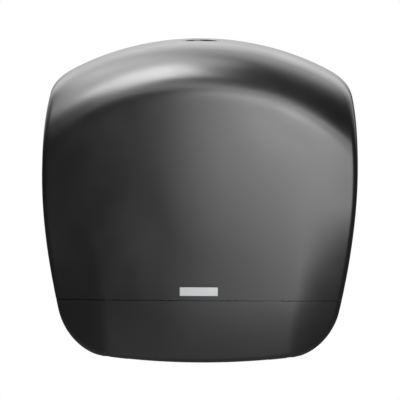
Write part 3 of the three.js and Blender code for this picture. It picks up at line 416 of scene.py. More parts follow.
print("middle of the front, m:", [round(c, 4) for c in drafted(0, 159, front_depth(0, 159))])

# %% [markdown]
# The skin grows ring by ring, as a potter pulls up a wall: the outline is a loop of edges at the wall, and each
# extrusion carries it on, first along the sides, then round the edge, then over the front to one point in the
# middle. A subdivided block would need many more faces to meet the outline. Every vertex remembers its spot on the
# outline in a layer, which the extrusion copies, so each new ring is laid out by that spot.

# %% Rings
def verts_of(result):
    return [part for part in result["geom"] if isinstance(part, bmesh.types.BMVert)]


def start_ring(bm, points):
    """A closed loop of edges through points, with the layer that holds each vertex's spot."""
    spot = bm.verts.layers.int.new("spot")
    ring = [bm.verts.new(co) for co in points]
    for i, vert in enumerate(ring):
        vert[spot] = i
    return spot, [bm.edges.new((ring[i - 1], ring[i])) for i in range(len(ring))]


def grow_ring(bm, spot, loop, points):
    """Extrudes a loop of edges, lays the new loop along points and returns it."""
    made = verts_of(bmesh.ops.extrude_edge_only(bm, edges=loop))
    for vert in made:
        vert.co = points[vert[spot]]
    fresh = set(made)
    return [edge for vert in made for edge in vert.link_edges
            if edge.verts[0] in fresh and edge.verts[1] in fresh and edge.verts[0] is vert]


print("spots on each ring of the casing:", 2 * sum(outline_steps))

# %% [markdown]
# The whole casing takes 70 such rings: six along the sides, eleven round the edge and 52 over the front, closer
# together on the shoulder, where the form bends. A grid that is pressed on to the form would need no rings, but its
# rows wouldn't follow the outline, and the edge would show steps. The last ring is closed and poked to one point.

# %% Skin of the casing
wall_gap, edge_radius, side_rows, edge_steps = 1, 5, 6, 11
front_shares = [1 - 0.0125 * i for i in range(1, 31)] + [0.625 - 0.027 * i for i in range(1, 23)]


def casing_skin(under=0.0):
    """The skin from its edge at the wall to the middle of the front, moved inwards by under."""
    def laid_out(flat, depths):
        return [drafted(p.x, p.y, depth) for p, depth in zip(flat, depths)]

    def depths_at(flat, less=0.0):
        return [front_depth(p.x, p.y, under) - less for p in flat]

    bm = bmesh.new()
    outline = casing_outline(under)
    radius = max(edge_radius - under, edge_radius * 0.25)
    spot, loop = start_ring(bm, laid_out(outline, [wall_gap] * len(outline)))
    ends = depths_at(outline, radius)
    for row in range(1, side_rows + 1):
        depths = [wall_gap + row / side_rows * (end - wall_gap) for end in ends]
        loop = grow_ring(bm, spot, loop, laid_out(outline, depths))
    for step in range(1, edge_steps + 1):
        turn = math.pi / 2 * step / edge_steps
        flat = inset(outline, radius * (1 - math.cos(turn)))
        loop = grow_ring(bm, spot, loop, laid_out(flat, depths_at(flat, radius * (1 - math.sin(turn)))))
    edge = inset(outline, radius)
    middle = flat_place((0, 0.5))
    for share in front_shares:
        flat = [middle + (p - middle) * share for p in edge]
        loop = grow_ring(bm, spot, loop, laid_out(flat, depths_at(flat)))
    cap = bmesh.ops.contextual_create(bm, geom=loop)["faces"]
    tip = bmesh.ops.poke(bm, faces=cap)["verts"][0]
    tip.co = drafted(middle.x, middle.y, front_depth(middle.x, middle.y, under))
    bmesh.ops.recalc_face_normals(bm, faces=bm.faces)
    if sum(face.normal.y for face in bm.faces) > 0:
        bmesh.ops.reverse_faces(bm, faces=bm.faces)
    return bm


cover = casing_skin()
print("rings:", 1 + side_rows + edge_steps + len(front_shares), "faces of the skin:", len(cover.faces))

# %% [markdown]
# Both covers are cut from that skin. A plane splits it, with or without clearing one side, and Solidify gives it an
# even wall inwards. Moving a copy inwards by hand would make the wall thinner at the edge. Moulded edges are never
# truly sharp, so round_edges bevels every edge sharper than an angle, or those that a test picks.

# %% Planes, walls and rounded edges
plane_play, level_play = 0.001 * MM, 0.02 * MM


def split(bm, point, normal, geom=None, clear=False):
    """Cuts faces along a plane. With clear, what lies on the side of its normal is removed."""
    bmesh.ops.bisect_plane(bm, geom=geom or bm.verts[:] + bm.edges[:] + bm.faces[:], dist=plane_play,
                           plane_co=point, plane_no=normal, clear_outer=clear)


def as_bmesh(made, *spare):
    """An object with its modifiers as a new bmesh. It and the spare objects are removed."""
    result = bmesh.new()
    result.from_object(made, bpy.context.evaluated_depsgraph_get())
    for part in (made, *spare):
        mesh = part.data
        bpy.data.objects.remove(part)
        bpy.data.meshes.remove(mesh)
    return result


def thicken(bm, wall_mm):
    made = as_object(bm)
    modifier = made.modifiers.new("wall", "SOLIDIFY")
    modifier.thickness = wall_mm * MM
    modifier.offset = -1
    modifier.use_even_offset = True
    return as_bmesh(made)


def round_edges(bm, size_mm, segments=2, angle=40.0, where=None):
    edges = [edge for edge in bm.edges if len(edge.link_faces) == 2
             and edge.calc_face_angle() > math.radians(angle) and (where is None or where(edge))]
    bmesh.ops.bevel(bm, geom=edges, offset=size_mm * MM, offset_type="OFFSET", segments=segments, profile=0.5,
                    affect="EDGES", clamp_overlap=True, material=-1)


seam_gap, seam_radius = 0.8, 0.35
seam_top, seam_low = seam_height + seam_gap / 2, seam_height - seam_gap / 2


def round_seam(bm, height):
    """Rounds the edges that lie level at a height, along the joint line."""
    level = at_height(0, 0, height).z
    round_edges(bm, seam_radius, where=lambda edge: all(abs(v.co.z - level) < level_play for v in edge.verts))


print("joint line, mm above the bottom:", seam_low, "to", seam_top)

# %% [markdown]
# ## The front cover
# The upper part ends at the joint line, a gap of 0.8 mm. Its pocket for the nameplate is cut into the skin: four
# planes split the faces round it, and an inset sinks the ones inside by 0.6 mm. A boolean could cut the pocket too,
# but it would leave long thin faces in the gleam. Then the skin gets its wall and its rounded joint line.

# %% Front cover
cover_wall, seat_gap = 2.5, 0.3
plate_width, plate_height, plate_above_seam = 36.5, 8.2, 8.6
pocket_depth, pocket_draft, pocket_from_wall, pocket_room = 0.6, 0.03, 100, 12
plate_middle = seam_height + plate_above_seam
plate_seat = drafted(0, plate_middle, front_depth(0, plate_middle))
half_width = (plate_width / 2 + seat_gap) * MM
half_height = (plate_height / 2 + seat_gap) * MM
split(cover, at_height(0, 0, seam_top), (0, 0, -1), clear=True)


def in_pocket(face, room=0.0):
    co = face.calc_center_median()
    return (abs(co.x) < half_width + room * MM and abs(co.z - plate_seat.z) < half_height + room * MM
            and co.y < -pocket_from_wall * MM)


for point, normal in (((half_width, 0, 0), (1, 0, 0)), ((-half_width, 0, 0), (1, 0, 0)),
                      ((0, 0, plate_seat.z + half_height), (0, 0, 1)),
                      ((0, 0, plate_seat.z - half_height), (0, 0, 1))):
    faces = [face for face in cover.faces if in_pocket(face, pocket_room)]
    corners = dict.fromkeys(vert for face in faces for vert in face.verts)
    sides = dict.fromkeys(edge for face in faces for edge in face.edges)
    split(cover, point, normal, geom=[*corners, *sides, *faces])
bmesh.ops.inset_region(cover, faces=[face for face in cover.faces if in_pocket(face)], thickness=pocket_draft * MM,
                       depth=-pocket_depth * MM, use_boundary=True, use_even_offset=True)
cover = thicken(cover, cover_wall)
round_seam(cover, seam_top)
print("faces of the cover:", len(cover.faces))

# %% [markdown]
# The lock sits in the domed top, in an oval recess whose rim is flush with the casing. The rim's height could be
# worked out from the formulas, but a ray dropped on to the skin at each vertex of the oval finds it directly.

# %% The casing as a target for rays
lock_from_wall, bezel_half_length, bezel_half_width = 30, 18, 12
dish_depth, dish_floor = 6, 2
dish_top = casing_height - lock_from_wall * top_draft - dish_depth
dish_under = dish_top - dish_floor
ray_start = 0.3
target_bm = casing_skin()
target = BVHTree.FromBMesh(target_bm)
target_bm.free()


def skin_above(x, y):
    """The height of the skin above the casing's bottom, at a place in mm."""
    hit = target.ray_cast(Vector((x * MM, y * MM, ray_start)), Vector((0, 0, -1)))[0]
    return hit.z / MM + spindle_height


print("skin at the lock, mm:", round(skin_above(0, -lock_from_wall), 2))

# %% [markdown]
# The hole for the lock is an oval prism cut out of the cover. A flat part starts from its outline and its holes,
# which triangle_fill closes, and an extrusion makes it thick. It could be cut with planes as the pocket was, but an
# oval would need dozens, so the boolean modifier does it, on throw-away objects.

# %% Hole for the lock
def oval(half_u, half_v, count=72, centre=(0, 0)):
    return [(centre[0] + half_u * math.cos(math.tau * i / count), centre[1] + half_v * math.sin(math.tau * i / count))
            for i in range(count)]


def lying(u, v, height):
    """Flat parts that lie level in the lock: u across, v towards the wall, from the lock's axis."""
    return at_height(u, v - lock_from_wall, height)


def flat_part(loops, place, low, high):
    """Loops of (u, v) in mm, the first one outside and the others holes, thick from low to high."""
    bm = bmesh.new()
    edges = []
    for loop in loops:
        verts = [bm.verts.new(place(u, v, low)) for u, v in loop]
        edges += [bm.edges.new((verts[i - 1], verts[i])) for i in range(len(verts))]
    bmesh.ops.triangle_fill(bm, edges=edges, use_beauty=True)
    made = verts_of(bmesh.ops.extrude_face_region(bm, geom=bm.faces[:]))
    bmesh.ops.translate(bm, verts=made, vec=place(0, 0, high) - place(0, 0, low))
    bmesh.ops.recalc_face_normals(bm, faces=bm.faces)
    return bm


def carved(bm, *tools):
    """Cuts closed tools out of a closed body, and returns the result as a new bmesh."""
    body = as_object(bm)
    cutters = [as_object(tool) for tool in tools]
    for cutter in cutters:
        modifier = body.modifiers.new("cut", "BOOLEAN")
        modifier.operation = "DIFFERENCE"
        modifier.solver = "EXACT"
        modifier.object = cutter
    return as_bmesh(body, *cutters)


well_above = casing_height + 10
hole = flat_part([oval(bezel_half_length + seat_gap, bezel_half_width + seat_gap)], lying, dish_under, well_above)
cover = carved(cover, hole)
print("faces of the cover with its hole:", len(cover.faces))

# %% [markdown]
# Inside the cover stand the bosses that take the screws. Each is a post with a blind hole. Most small parts here are
# turned like them: a few vertices give half of the section, and spin carries them once round the axis. The Screw
# modifier could do the same, but spin gives the mesh at once.

# %% Turned parts
weld_play = 0.002 * MM


def turned(profile, centre, axis, steps=48, closed=False):
    """A section of (radius, place along the axis) pairs in mm, spun once round the axis through centre."""
    bm = bmesh.new()
    axis = Vector(axis)
    side = Vector((1, 0, 0)) if abs(axis.x) < 0.5 else Vector((0, 0, 1))
    verts = [bm.verts.new(Vector(centre) + side * (r * MM) + axis * (a * MM)) for r, a in profile]
    edges = [bm.edges.new((verts[i], verts[i + 1])) for i in range(len(verts) - 1)]
    if closed:
        edges.append(bm.edges.new((verts[-1], verts[0])))
    bmesh.ops.spin(bm, geom=verts + edges, cent=centre, axis=axis, angle=math.tau, steps=steps, use_merge=True)
    bmesh.ops.remove_doubles(bm, verts=bm.verts, dist=weld_play)
    bmesh.ops.recalc_face_normals(bm, faces=bm.faces)
    return bm


up, to_wall = (0, 0, 1), (0, 1, 0)
screw_hole, boss_radius = 1.9, 4


def boss(x, y, foot, height, blind):
    """A post whose blind hole starts at its foot."""
    return turned([(screw_hole, 0), (boss_radius, 0), (boss_radius, height), (0, height), (0, blind),
                   (screw_hole, blind)], at_height(x, y, foot), up, closed=True)


print("boss, mm across:", 2 * boss_radius)

# %% [markdown]
# Four bosses take the lower part, each with a web to the front wall, and two take the lock housing. A union would
# weld them to the wall. They are merged as shells of their own instead, which keeps the wall's faces clean, and the
# overlap is hidden inside.

# %% Bosses and webs
def merge_into(bm, *others):
    """Adds the faces of other bmeshes to one, as its own shells."""
    for other in others:
        mesh = bpy.data.meshes.new("part")
        other.to_mesh(mesh)
        other.free()
        bm.from_mesh(mesh)
        bpy.data.meshes.remove(mesh)


def block(x, y, z):
    """A box from pairs of ends in mm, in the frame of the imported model."""
    bm = bmesh.new()
    bmesh.ops.create_cube(bm, size=1)
    bmesh.ops.scale(bm, verts=bm.verts, vec=[(high - low) * MM for low, high in (x, y, z)])
    bmesh.ops.translate(bm, verts=bm.verts, vec=[(high + low) / 2 * MM for low, high in (x, y, z)])
    return bm


boss_height, boss_reach, boss_blind = 22, 6.5, 8
web_half, web_bite, web_play = 1, 0.5, 0.05
ear_across, ear_thick, ear_blind, under_skin = 25, 3, 5.5, 1
boss_places = []
for x in (-32, -84, 32, 84):
    wall = drafted(x, seam_height, front_depth(x, seam_height, cover_wall))
    boss_places.append((x, wall.y / MM + boss_reach))
for x, y in boss_places:
    foot = seam_top - spindle_height
    web = block((x - web_half, x + web_half), (y - boss_reach - 1, y - boss_radius + web_bite),
                (foot + web_play, foot + boss_height - web_play))
    merge_into(cover, boss(x, y, seam_top, boss_height, boss_blind), web)
ear_foot = dish_under - ear_thick
for x in (-ear_across, ear_across):
    reach = skin_above(x, -lock_from_wall) - under_skin - ear_foot
    merge_into(cover, boss(x, -lock_from_wall, ear_foot, reach, ear_blind))
print("boss places, mm:", [(x, round(y, 1)) for x, y in boss_places])

# %% [markdown]
# A finished piece is shaded smooth apart from edges sharper than an angle. Auto smooth could do that as a modifier,
# but marks on the edges stay with the mesh. A modifier weighs the normals by area, so that a flat face looks flat up
# to its rounded edge. Then the piece rides on its body, and takes the place of the node that it stands for.

# %% Finish a piece
sharp_degrees = 38.0


def finish_piece(bm, name, body, material, node):
    bmesh.ops.remove_doubles(bm, verts=bm.verts, dist=weld_play)
    bmesh.ops.recalc_face_normals(bm, faces=bm.faces)
    for face in bm.faces:
        face.smooth = True
    for edge in bm.edges:
        if len(edge.link_faces) == 2:
            edge.smooth = edge.calc_face_angle() < math.radians(sharp_degrees)
    made = as_object(bm, name)
    made.data.materials.append(material)
    made.modifiers.new("large faces stay flat", "WEIGHTED_NORMAL").keep_sharp = True
    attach(made, body)
    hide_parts(node)
    made.data.calc_loop_triangles()
    print(name, "triangles:", len(made.data.loop_triangles))


finish_piece(cover, "front_cover_shell", "cover", black_abs, "front_cover")

# %% [markdown]
# ## The lower cover
# The same skin, kept below the joint line. The back edge is cut back behind the hinge axis, so that it clears the
# back plate as the cover swings down. The bottom is open for the paper, apart from a narrow lip along the front.
# Booleans could open it, but here planes split the skin and the faces between them are deleted before it gets its
# wall, so that the wall closes round the opening by itself.

# %% Lower cover
hinge_from_wall, hinge_above_flat, relief_rise = 14, 12, 10
relief_run = hinge_from_wall - wall_gap
hinge_height = outline_runs[4][2][1] * casing_height + hinge_above_flat
ear_past_flat, ear_wall, ear_height, eye_radius, eye_hole = 4.31, 4, 26, 8, 4.7
ear_inner = outline_runs[4][2][0] * casing_width / 2 + ear_past_flat
opening_half, opening_height, lip_steps = ear_inner + 0.6, ear_height / 2, 3
lip_drop = edge_radius * (1 - math.sin(math.pi / 2 * lip_steps / edge_steps)) + 0.01

lower = casing_skin()
split(lower, at_height(0, 0, seam_low), (0, 0, 1), clear=True)
for point, normal in ((at_height(0, -hinge_from_wall, 0), (0, 1, 0)),
                      (at_height(0, -hinge_from_wall, hinge_height), (0, -relief_rise, relief_run)),
                      (at_height(opening_half, 0, 0), (1, 0, 0)), (at_height(-opening_half, 0, 0), (1, 0, 0))):
    split(lower, point, normal)


def left_out(face):
    """Whether a face lies behind the hinge and under the slope, or in the opening."""
    x, y, height = face.calc_center_median() / MM + Vector((0, 0, spindle_height))
    slope = hinge_height + (y + hinge_from_wall) * relief_rise / relief_run
    return (y > -hinge_from_wall and height < slope
            or abs(x) < opening_half and height < opening_height and -y < front_depth(x, 0) - lip_drop)


bmesh.ops.delete(lower, geom=[face for face in lower.faces if left_out(face)], context="FACES")
lower = thicken(lower, cover_wall)
round_seam(lower, seam_low)
print("faces of the lower cover:", len(lower.faces))

# %% [markdown]
# A tongue stands up behind the lower edge of the front cover and closes the joint line from inside. It could be
# extruded from the rim, but it has to follow the draft, so it is the same skin again, 2.8 mm further in, cut to a
# band and given its own wall, with room for the bosses.

# %% Tongue
tongue_height, tongue_wall, boss_room = 11, 2, boss_radius + 0.5
tongue = casing_skin(cover_wall + seat_gap)
for height, way in ((seam_low - tongue_height, -1), (seam_height + tongue_height, 1)):
    split(tongue, at_height(0, 0, height), (0, 0, way), clear=True)
split(tongue, at_height(0, -hinge_from_wall, 0), (0, 1, 0), clear=True)
rooms = [block((x - boss_room, x + boss_room), (-160, y + boss_room), (seam_low - spindle_height, 90))
         for x, y in boss_places]
merge_into(lower, carved(thicken(tongue, tongue_wall), *rooms))
print("tongue, mm thick:", tongue_wall)

# %% [markdown]
# Under each boss lies a tab with a hole for its screw. On both sides stands an ear with an eye for the hinge. Holes
# could be cut with a boolean, but in a flat part a hole is just a second loop inside the outline.

# %% Tabs and hinge ears
tab_half, tab_thick, tab_inside, tab_outside = 7, 3, 6, -boss_reach - 0.8
ear_bite, ear_rises = 1.2, (ear_height, 21, 17, 12.5)
for x, y in boss_places:
    tab = flat_part([[(-tab_half, tab_outside), (tab_half, tab_outside), (tab_half, tab_inside),
                      (-tab_half, tab_inside)], oval(screw_hole, screw_hole, 32)],
                    lambda u, v, w: at_height(x + u, y + v, w), seam_low - tab_thick, seam_low)
    merge_into(lower, tab)
eye = (-hinge_from_wall, hinge_height)
ear = [(eye[0] + eye_radius * math.cos(math.radians(a)), eye[1] + eye_radius * math.sin(math.radians(a)))
       for a in range(-60, 91, 10)]
ear += [(-front_depth(ear_inner + ear_wall, h, cover_wall) - ear_bite, h) for h in ear_rises]
ear += [(eye[0], eye[1] - eye_radius)]
for side in (-1, 1):
    merge_into(lower, flat_part([ear, oval(eye_hole, eye_hole, 32, eye)], lambda y, h, x: at_height(x, y, h),
                                side * ear_inner, side * (ear_inner + ear_wall)))
finish_piece(lower, "lower_cover_shell", "cover", black_abs, "lower_cover")

# %% [markdown]
# ## The nameplate
# A small plate of satin aluminium, left bare. It could be a plain block, but a stamped and tumbled plate has corners
# with a radius of 0.35 mm and a fine bevel on its edges, which catches the light.

# %% Nameplate
corner_radius, plate_bevel, plate_thick = 0.35, 0.2, 1
across, tall = plate_width / 2, plate_height / 2
plate_back = plate_seat.y / MM + pocket_depth - seat_gap
plate = flat_part([[(-across, -tall), (across, -tall), (across, tall), (-across, tall)]],
                  lambda u, v, w: Vector((u, w, v + plate_seat.z / MM)) * MM, plate_back, plate_back - plate_thick)
round_edges(plate, corner_radius, segments=3,
            where=lambda edge: abs((edge.verts[0].co - edge.verts[1].co).normalized().y) > 0.9)
round_edges(plate, plate_bevel, angle=60)
finish_piece(plate, "nameplate_bare", "cover", aluminium, "nameplate")

# %% [markdown]
# ## The lock
# The recess is an oval dish. Its outer wall rises to the skin, the rim turns in with a small radius, and the wall
# falls to the floor, which has a round hole for the button. It can't be turned, because its rim follows the dome,
# so it is grown ring by ring like the casing, and its last ring is bridged to its first one.

# %% Recess
bezel_rim, button_radius = 2.2, 7.5
rim_rings = [(0, 0.5), (0.15, 0.15), (0.5, 0), (bezel_rim - 0.5, 0), (bezel_rim - 0.15, 0.15), (bezel_rim, 0.5)]
dish_rings = [(0.2, 1.2), (0.6, 0.3), (1.4, 0)]
hole_rings = [(0.5, 0), (0.3, -0.2), (0.3, -dish_floor)]


def recess_oval(inward):
    return oval(bezel_half_length - inward, bezel_half_width - inward)


def raised(shape, heights):
    return [lying(u, v, height) for (u, v), height in zip(shape, heights)]


def rim_heights(inward, sink):
    return [skin_above(u, v - lock_from_wall) - sink for u, v in recess_oval(inward)]


count = len(recess_oval(0))
rings = [raised(recess_oval(inward), rim_heights(max(inward, 0.05), sink)) for inward, sink in rim_rings]
rings += [raised(recess_oval(bezel_rim + inward), [dish_top + rise] * count) for inward, rise in dish_rings]
rings += [raised(oval(button_radius + room, button_radius + room), [dish_top + rise] * count)
          for room, rise in hole_rings]
recess = bmesh.new()
spot, start = start_ring(recess, raised(recess_oval(0), [dish_under] * count))
loop = start
for ring in rings:
    loop = grow_ring(recess, spot, loop, ring)
bmesh.ops.bridge_loops(recess, edges=start + loop)
finish_piece(recess, "lock_recess", "cover", black_abs, "lock_bezel")

# %% [markdown]
# The button and the key plug in it are turned. The button has a shallow dish on top for a finger, a flange that
# stops it under the recess, and a stem for the spring, with a nib below. The plug is steel, and its key slot is cut
# across it with a block, which is simpler than building it into the section.

# %% Button and key plug
lock_axis = at_height(0, -lock_from_wall, 0)
button_top, flange_top = dish_top + 2, dish_under - seat_gap
flange_low = flange_top - 1.5
flange_radius, stem_radius, nib_radius, spring_length, housing_floor = 9.4, 3, 1, 8.2, 2
nib_low = flange_low - seat_gap - spring_length - housing_floor - 0.5
shoulder_low, plug_hole = nib_low + 0.7, 4.3
button = turned([(0, nib_low), (nib_radius - 0.3, nib_low), (nib_radius, nib_low + 0.3),
                 (nib_radius, shoulder_low), (stem_radius - 0.4, shoulder_low), (stem_radius, shoulder_low + 0.4),
                 (stem_radius, flange_low), (flange_radius - 0.2, flange_low), (flange_radius, flange_low + 0.2),
                 (flange_radius, flange_top - 0.2), (flange_radius - 0.2, flange_top),
                 (button_radius, flange_top), (button_radius, button_top - 0.7),
                 (button_radius - 0.2, button_top - 0.2), (button_radius - 0.6, button_top),
                 (plug_hole + 0.9, button_top - 0.35), (plug_hole + 0.2, button_top - 0.35),
                 (plug_hole, button_top - 0.55), (plug_hole, button_top - 3.4), (0, button_top - 3.4)],
                lock_axis, up, steps=64)
finish_piece(button, "lock_button", "button", acetal, "push_button")

plug_radius, plug_low, slot_half_length, slot_half_width, slot_depth = 4, button_top - 3.1, 2.6, 0.65, 2
plug = turned([(0, plug_low), (plug_radius, plug_low), (plug_radius, button_top - 0.25),
               (plug_radius - 0.25, button_top), (0, button_top)], lock_axis, up)
slot_tool = block((-slot_half_length, slot_half_length),
                  (-slot_half_width - lock_from_wall, slot_half_width - lock_from_wall),
                  (button_top - slot_depth - spindle_height, button_top + 5 - spindle_height))
finish_piece(carved(plug, slot_tool), "key_barrel", "key", zinc, "key_plug")

# %% [markdown]
# ## Parts made from their nodes
# Where a node's own shape is right and made of flat faces, building it again would gain nothing. A copy is merged,
# faces in one plane are joined, and every edge gets a small radius, because no moulded or stamped edge is truly
# sharp. Where one would show under the curved bottom of the casing, a small block is cut away first: along the side
# edges of the tray and at the last teeth of the strips.

# %% Refined copies
node_play = 0.01 * MM


def refined(node, name, body, material, radius_mm, cuts=()):
    bm = bmesh.new()
    bm.from_mesh(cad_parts[node].data)
    bm.transform(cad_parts[node].matrix_world)
    bmesh.ops.remove_doubles(bm, verts=bm.verts, dist=node_play)
    bmesh.ops.dissolve_limit(bm, angle_limit=math.radians(1.5), verts=bm.verts, edges=bm.edges,
                             use_dissolve_boundaries=False)
    if cuts:
        bm = carved(bm, *[block(*cut) for cut in cuts])
    round_edges(bm, radius_mm, angle=45)
    finish_piece(bm, name, body, material, node)


tray_sides = [(side, (-119, -8), (-142, -139.8)) for side in ((-96, -92.3), (92.3, 96))]
strip_ends = [(side, (-112, -12), (-146, -143.2)) for side in ((-64, -57), (57, 64))]
refined("back_plate", "back_plate_moulding", "base", grey_abs, 0.4)
refined("outlet_tray", "outlet_tray_moulding", "base", grey_abs, 0.35, cuts=tray_sides)
refined("latch_keeper", "latch_keeper_bracket", "base", zinc, 0.3)
refined("lock_housing", "lock_housing_moulding", "cover", acetal, 0.25)
refined("latch_lever", "latch_lever_moulding", "latch", acetal, 0.25)
for side in ("left", "right"):
    refined("tear_strip_" + side, "toothed_strip_" + side, "base", zinc, 0.12, cuts=strip_ends)

# %% [markdown]
# ## The hub, its post and the brake
# The roll's core slides on to six fins of the hub and stops at its flange. The hub turns on a hollow post, with a
# felt washer and a spring behind it as a brake, and a cap closes its front. All of them are turned on the spindle.
# A spun section can't have holes beside its axis, so the post's three screw holes are cut with turned pegs.

# %% Post
spindle = (0, 0, 0)
post_back, post_flange, post_radius, post_bore, post_solid = -6.3, 3.5, 12, 9, 11
flange_rim, post_screws = 31, 24
brake_length, washer_thick, hub_past_post, cap_depth, front_room = 8, 1.6, 7, 2.6, 15.3
post_front = front_room + cover_wall + cap_depth + seat_gap + hub_past_post - casing_depth
flange_front = post_back - post_flange
washer_back = flange_front - seat_gap - brake_length - seat_gap
hub_back, hub_front = washer_back - washer_thick - seat_gap, post_front - hub_past_post

post = turned([(post_bore, post_back), (post_bore, post_front + post_solid), (screw_hole, post_front + post_solid),
               (screw_hole, post_front), (post_radius - 0.8, post_front), (post_radius, post_front + 0.8),
               (post_radius, flange_front - 1.5), (post_radius + 0.45, flange_front - 0.45),
               (post_radius + 1.5, flange_front), (flange_rim - 0.8, flange_front),
               (flange_rim, flange_front + 0.8), (flange_rim, post_back)], spindle, to_wall, steps=72, closed=True)
pegs = [turned([(0, -30), (screw_hole, -30), (screw_hole, 20), (0, 20)],
               Vector((post_screws * math.cos(a), 0, post_screws * math.sin(a))) * MM, to_wall, steps=24)
        for a in (math.pi / 2 + i * math.tau / 3 for i in range(3))]
finish_piece(carved(post, *pegs), "spindle_post_moulding", "base", grey_abs, "spindle_post")

# %% [markdown]
# The hub's barrel runs on the post with a bearing at each end. Its six fins are flat parts that stand on the barrel.
# Each starts from six points, gets its thickness and a rounded edge, and is turned to its place. An Array modifier
# could repeat one fin, but a loop merges them into the hub at once.

# %% Hub
bore, inner, bearing, barrel, rim, fin_count = post_radius + 0.5, 17.8, 12, 20, 45, 6
inner_stop, stop = post_front + 2 * seat_gap, hub_back - 2.5
hub = turned([(bore, hub_back), (bore, hub_back - bearing), (inner, hub_back - bearing),
              (inner, inner_stop + bearing), (bore, inner_stop + bearing), (bore, inner_stop),
              (inner, inner_stop), (inner, hub_front), (barrel - 0.4, hub_front), (barrel, hub_front + 0.4),
              (barrel, stop - 1.6), (barrel + 0.5, stop - 0.5), (barrel + 1.6, stop), (rim - 2.5, stop),
              (rim - 1.8, stop - 0.6), (rim - 0.7, stop - 0.6), (rim, stop + 0.1), (rim, hub_back - 0.5),
              (rim - 0.5, hub_back)], spindle, to_wall, steps=96, closed=True)
fin_root, fin_top, fin_half = barrel - 0.8, 28, 1.2


def in_mm(x, y, z):
    return Vector((x, y, z)) * MM


for i in range(fin_count):
    fin = flat_part([[(fin_root, hub_back - 1.5), (fin_top, hub_back - 1.5), (fin_top, hub_front + 9),
                      (fin_top - 1.5, hub_front + 6), (barrel + 1, hub_front + 0.6), (fin_root, hub_front + 0.6)]],
                    in_mm, -fin_half, fin_half)
    round_edges(fin, 0.5, segments=3)
    bmesh.ops.rotate(fin, verts=fin.verts, cent=spindle, matrix=Matrix.Rotation(math.tau * i / fin_count, 3, "Y"))
    merge_into(hub, fin)
finish_piece(hub, "roll_hub_moulding", "hub", polypropylene, "roll_hub")

# %% [markdown]
# The cap snaps into the hub's front with a ring, and its edge is rounded for the hand. The felt washer and the steel
# washer at the end of the post are plain rings. A washer could be a cylinder with a hole cut in it: a turned section
# of four points is the same with clean faces, and round_edges softens it.

# %% Cap and washers
cap_back = hub_front - seat_gap
cap_front = cap_back - cap_depth
cap = turned([(0, cap_back), (16.2, cap_back), (16.2, cap_back + 3), (17.5, cap_back + 3), (17.5, cap_back),
              (barrel - 0.3, cap_back), (barrel, cap_back - 0.3), (barrel, cap_back - 1.2),
              (barrel - 0.4, cap_back - 2.0), (barrel - 1.2, cap_front + 0.1), (17.8, cap_front),
              (14.2, cap_front), (13.8, cap_front + 0.3), (13.2, cap_front + 0.7), (6, cap_front + 0.85),
              (0, cap_front + 0.9)], spindle, to_wall, steps=96)
finish_piece(cap, "hub_cap_moulding", "hub", polypropylene, "hub_cap")


def washer(inner, outer, back, thick, radius_mm, steps):
    made = turned([(inner, back), (outer, back), (outer, back - thick), (inner, back - thick)], spindle, to_wall,
                  steps=steps, closed=True)
    round_edges(made, radius_mm)
    return made


finish_piece(washer(12.5, 21, washer_back, washer_thick, 0.3, 72), "felt_washer", "base", felt, "brake_washer")
finish_piece(washer(screw_hole, 15, post_front - seat_gap, 1.5, 0.2, 64), "spindle_end_washer", "base", zinc,
             "end_washer")

# %% [markdown]
# ## Hinge pins and bushes
# Each pin is a headed steel pin through a lug of the back plate and an ear of the cover. A flanged acetal bush
# in the ear keeps steel off plastic. Both are turned, left and right in one loop, because a mirrored copy would have
# its faces inside out.

# %% Hinge
pin_radius, pin_head, head_thick, bush_bore, bush_radius, bush_flange, bush_end = 2.5, 4.5, 2, 2.8, 4.4, 5.4, 5.3
lug_thick, lug_room = 5, 0.5
seat = ear_inner - lug_room - lug_thick - seat_gap
reach = ear_inner + ear_wall + 2 - seat
for name, side in (("left", -1), ("right", 1)):
    pin = turned([(0, -head_thick), (pin_head - 0.6, -head_thick), (pin_head, 0.6 - head_thick), (pin_head, 0),
                  (pin_radius, 0), (pin_radius, reach - 0.5), (pin_radius - 0.5, reach), (0, reach)],
                 at_height(side * seat, -hinge_from_wall, hinge_height), (side, 0, 0), steps=40)
    finish_piece(pin, "hinge_pin_turned_" + name, "base", zinc, "hinge_pin_" + name)
    bush = turned([(bush_bore, 0), (bush_radius - 0.2, 0), (bush_radius, 0.2), (bush_radius, bush_end - 1),
                   (bush_flange - 0.2, bush_end - 1), (bush_flange, bush_end - 0.8), (bush_flange, bush_end - 0.2),
                   (bush_flange - 0.2, bush_end), (bush_bore, bush_end)],
                  at_height(side * ear_inner, -hinge_from_wall, hinge_height), (side, 0, 0), steps=40, closed=True)
    finish_piece(bush, "hinge_bush_moulded_" + name, "cover", acetal, "hinge_bush_" + name)

# %% [markdown]
# ## Screws
# All the screws are one kind: a pan head with a cross recess and a shank. Real threads could be swept along a helix,
# but the thread is hidden in plastic, so the shank is plain. The head is turned, and the cross is cut with two
# tapered blades. Each screw is turned from the y axis to its own direction, and its head goes where its node's is.

# %% Screws
head_height, head_radius, shank_radius = 2.2, 3.2, 1.6
pan = [(head_radius, 0), (head_radius, -0.9), (3.0, -1.4), (2.5, -1.85), (1.7, -2.12), (0.8, -head_height),
       (0, -head_height)]
blade_shape, blade_half = [(-1.75, -2.6), (1.75, -2.6), (0.7, -1.0), (-0.7, -1.0)], 0.3


def screw(shank_mm):
    body = turned([(0, shank_mm), (0.6, shank_mm), (shank_radius, shank_mm - 1.4), (shank_radius, 0), *pan],
                  (0, 0, 0), to_wall, steps=32)
    blades = []
    for turn in (0, 90):
        blade = flat_part([blade_shape], in_mm, -blade_half, blade_half)
        bmesh.ops.rotate(blade, verts=blade.verts, cent=(0, 0, 0),
                         matrix=Matrix.Rotation(math.radians(turn), 3, "Y"))
        blades.append(blade)
    return carved(body, *blades)


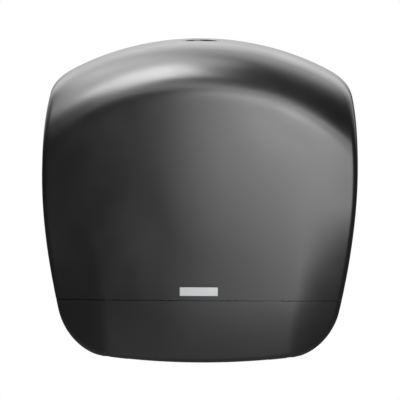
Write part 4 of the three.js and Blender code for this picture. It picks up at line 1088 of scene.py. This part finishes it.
screw_rows = [
    (["post_screw_1", "post_screw_2", "post_screw_3", "tray_screw_left", "tray_screw_right",
      "keeper_screw_left", "keeper_screw_right", "spindle_screw"], to_wall, "base"),
    (["strip_screw_left_front", "strip_screw_left_rear"], (-1, 0, 0), "base"),
    (["strip_screw_right_front", "strip_screw_right_rear"], (1, 0, 0), "base"),
    (["cover_screw_left_inner", "cover_screw_left_outer", "cover_screw_right_inner", "cover_screw_right_outer",
      "housing_screw_left", "housing_screw_right"], up, "cover"),
]
for nodes, heading, body in screw_rows:
    heading = Vector(heading)
    turn = Vector(to_wall).rotation_difference(heading).to_matrix()
    for node in nodes:
        low, high = map(Vector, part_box(node))
        length = abs((high - low).dot(heading)) / MM
        made = screw(length - head_height)
        bmesh.ops.rotate(made, verts=made.verts, cent=(0, 0, 0), matrix=turn)
        bmesh.ops.translate(made, verts=made.verts,
                            vec=(low + high) / 2 - heading * (length / 2 - head_height) * MM)
        finish_piece(made, node + "_pan", body, zinc, node)

# %% [markdown]
# The latch lever turns on a small steel pin. A cut piece of wire would do, but a turned pin has chamfered ends that
# find their hole, so its section has six points. Its length is measured on its node.

# %% Latch pin
low, high = map(Vector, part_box("latch_pin"))
reach = (high.x - low.x) / MM / 2
pin = turned([(0, -reach), (1.2, -reach), (1.5, 0.3 - reach), (1.5, reach - 0.3), (1.2, reach), (0, reach)],
             (low + high) / 2, (1, 0, 0), steps=32)
finish_piece(pin, "latch_pin_turned", "cover", zinc, "latch_pin")

# %% [markdown]
# ## Springs
# Both springs keep their nodes, because the button's spring shortens as the button goes down, and the frame moves
# that node. A bevelled curve would be rounder, but couldn't follow. The nodes' coils are coarse, so a weld joins
# their loose triangles and a subdivision rounds the wire.

# %% Springs
for node in ("brake_spring", "button_spring"):
    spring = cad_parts[node]
    weld = spring.modifiers.new("weld", "WELD")
    weld.merge_threshold = node_play
    smooth = spring.modifiers.new("round wire", "SUBSURF")
    smooth.levels = smooth.render_levels = 2
    spring.data.materials.clear()
    spring.data.materials.append(spring_steel)
    print(node, "finish:", spring_steel.name)
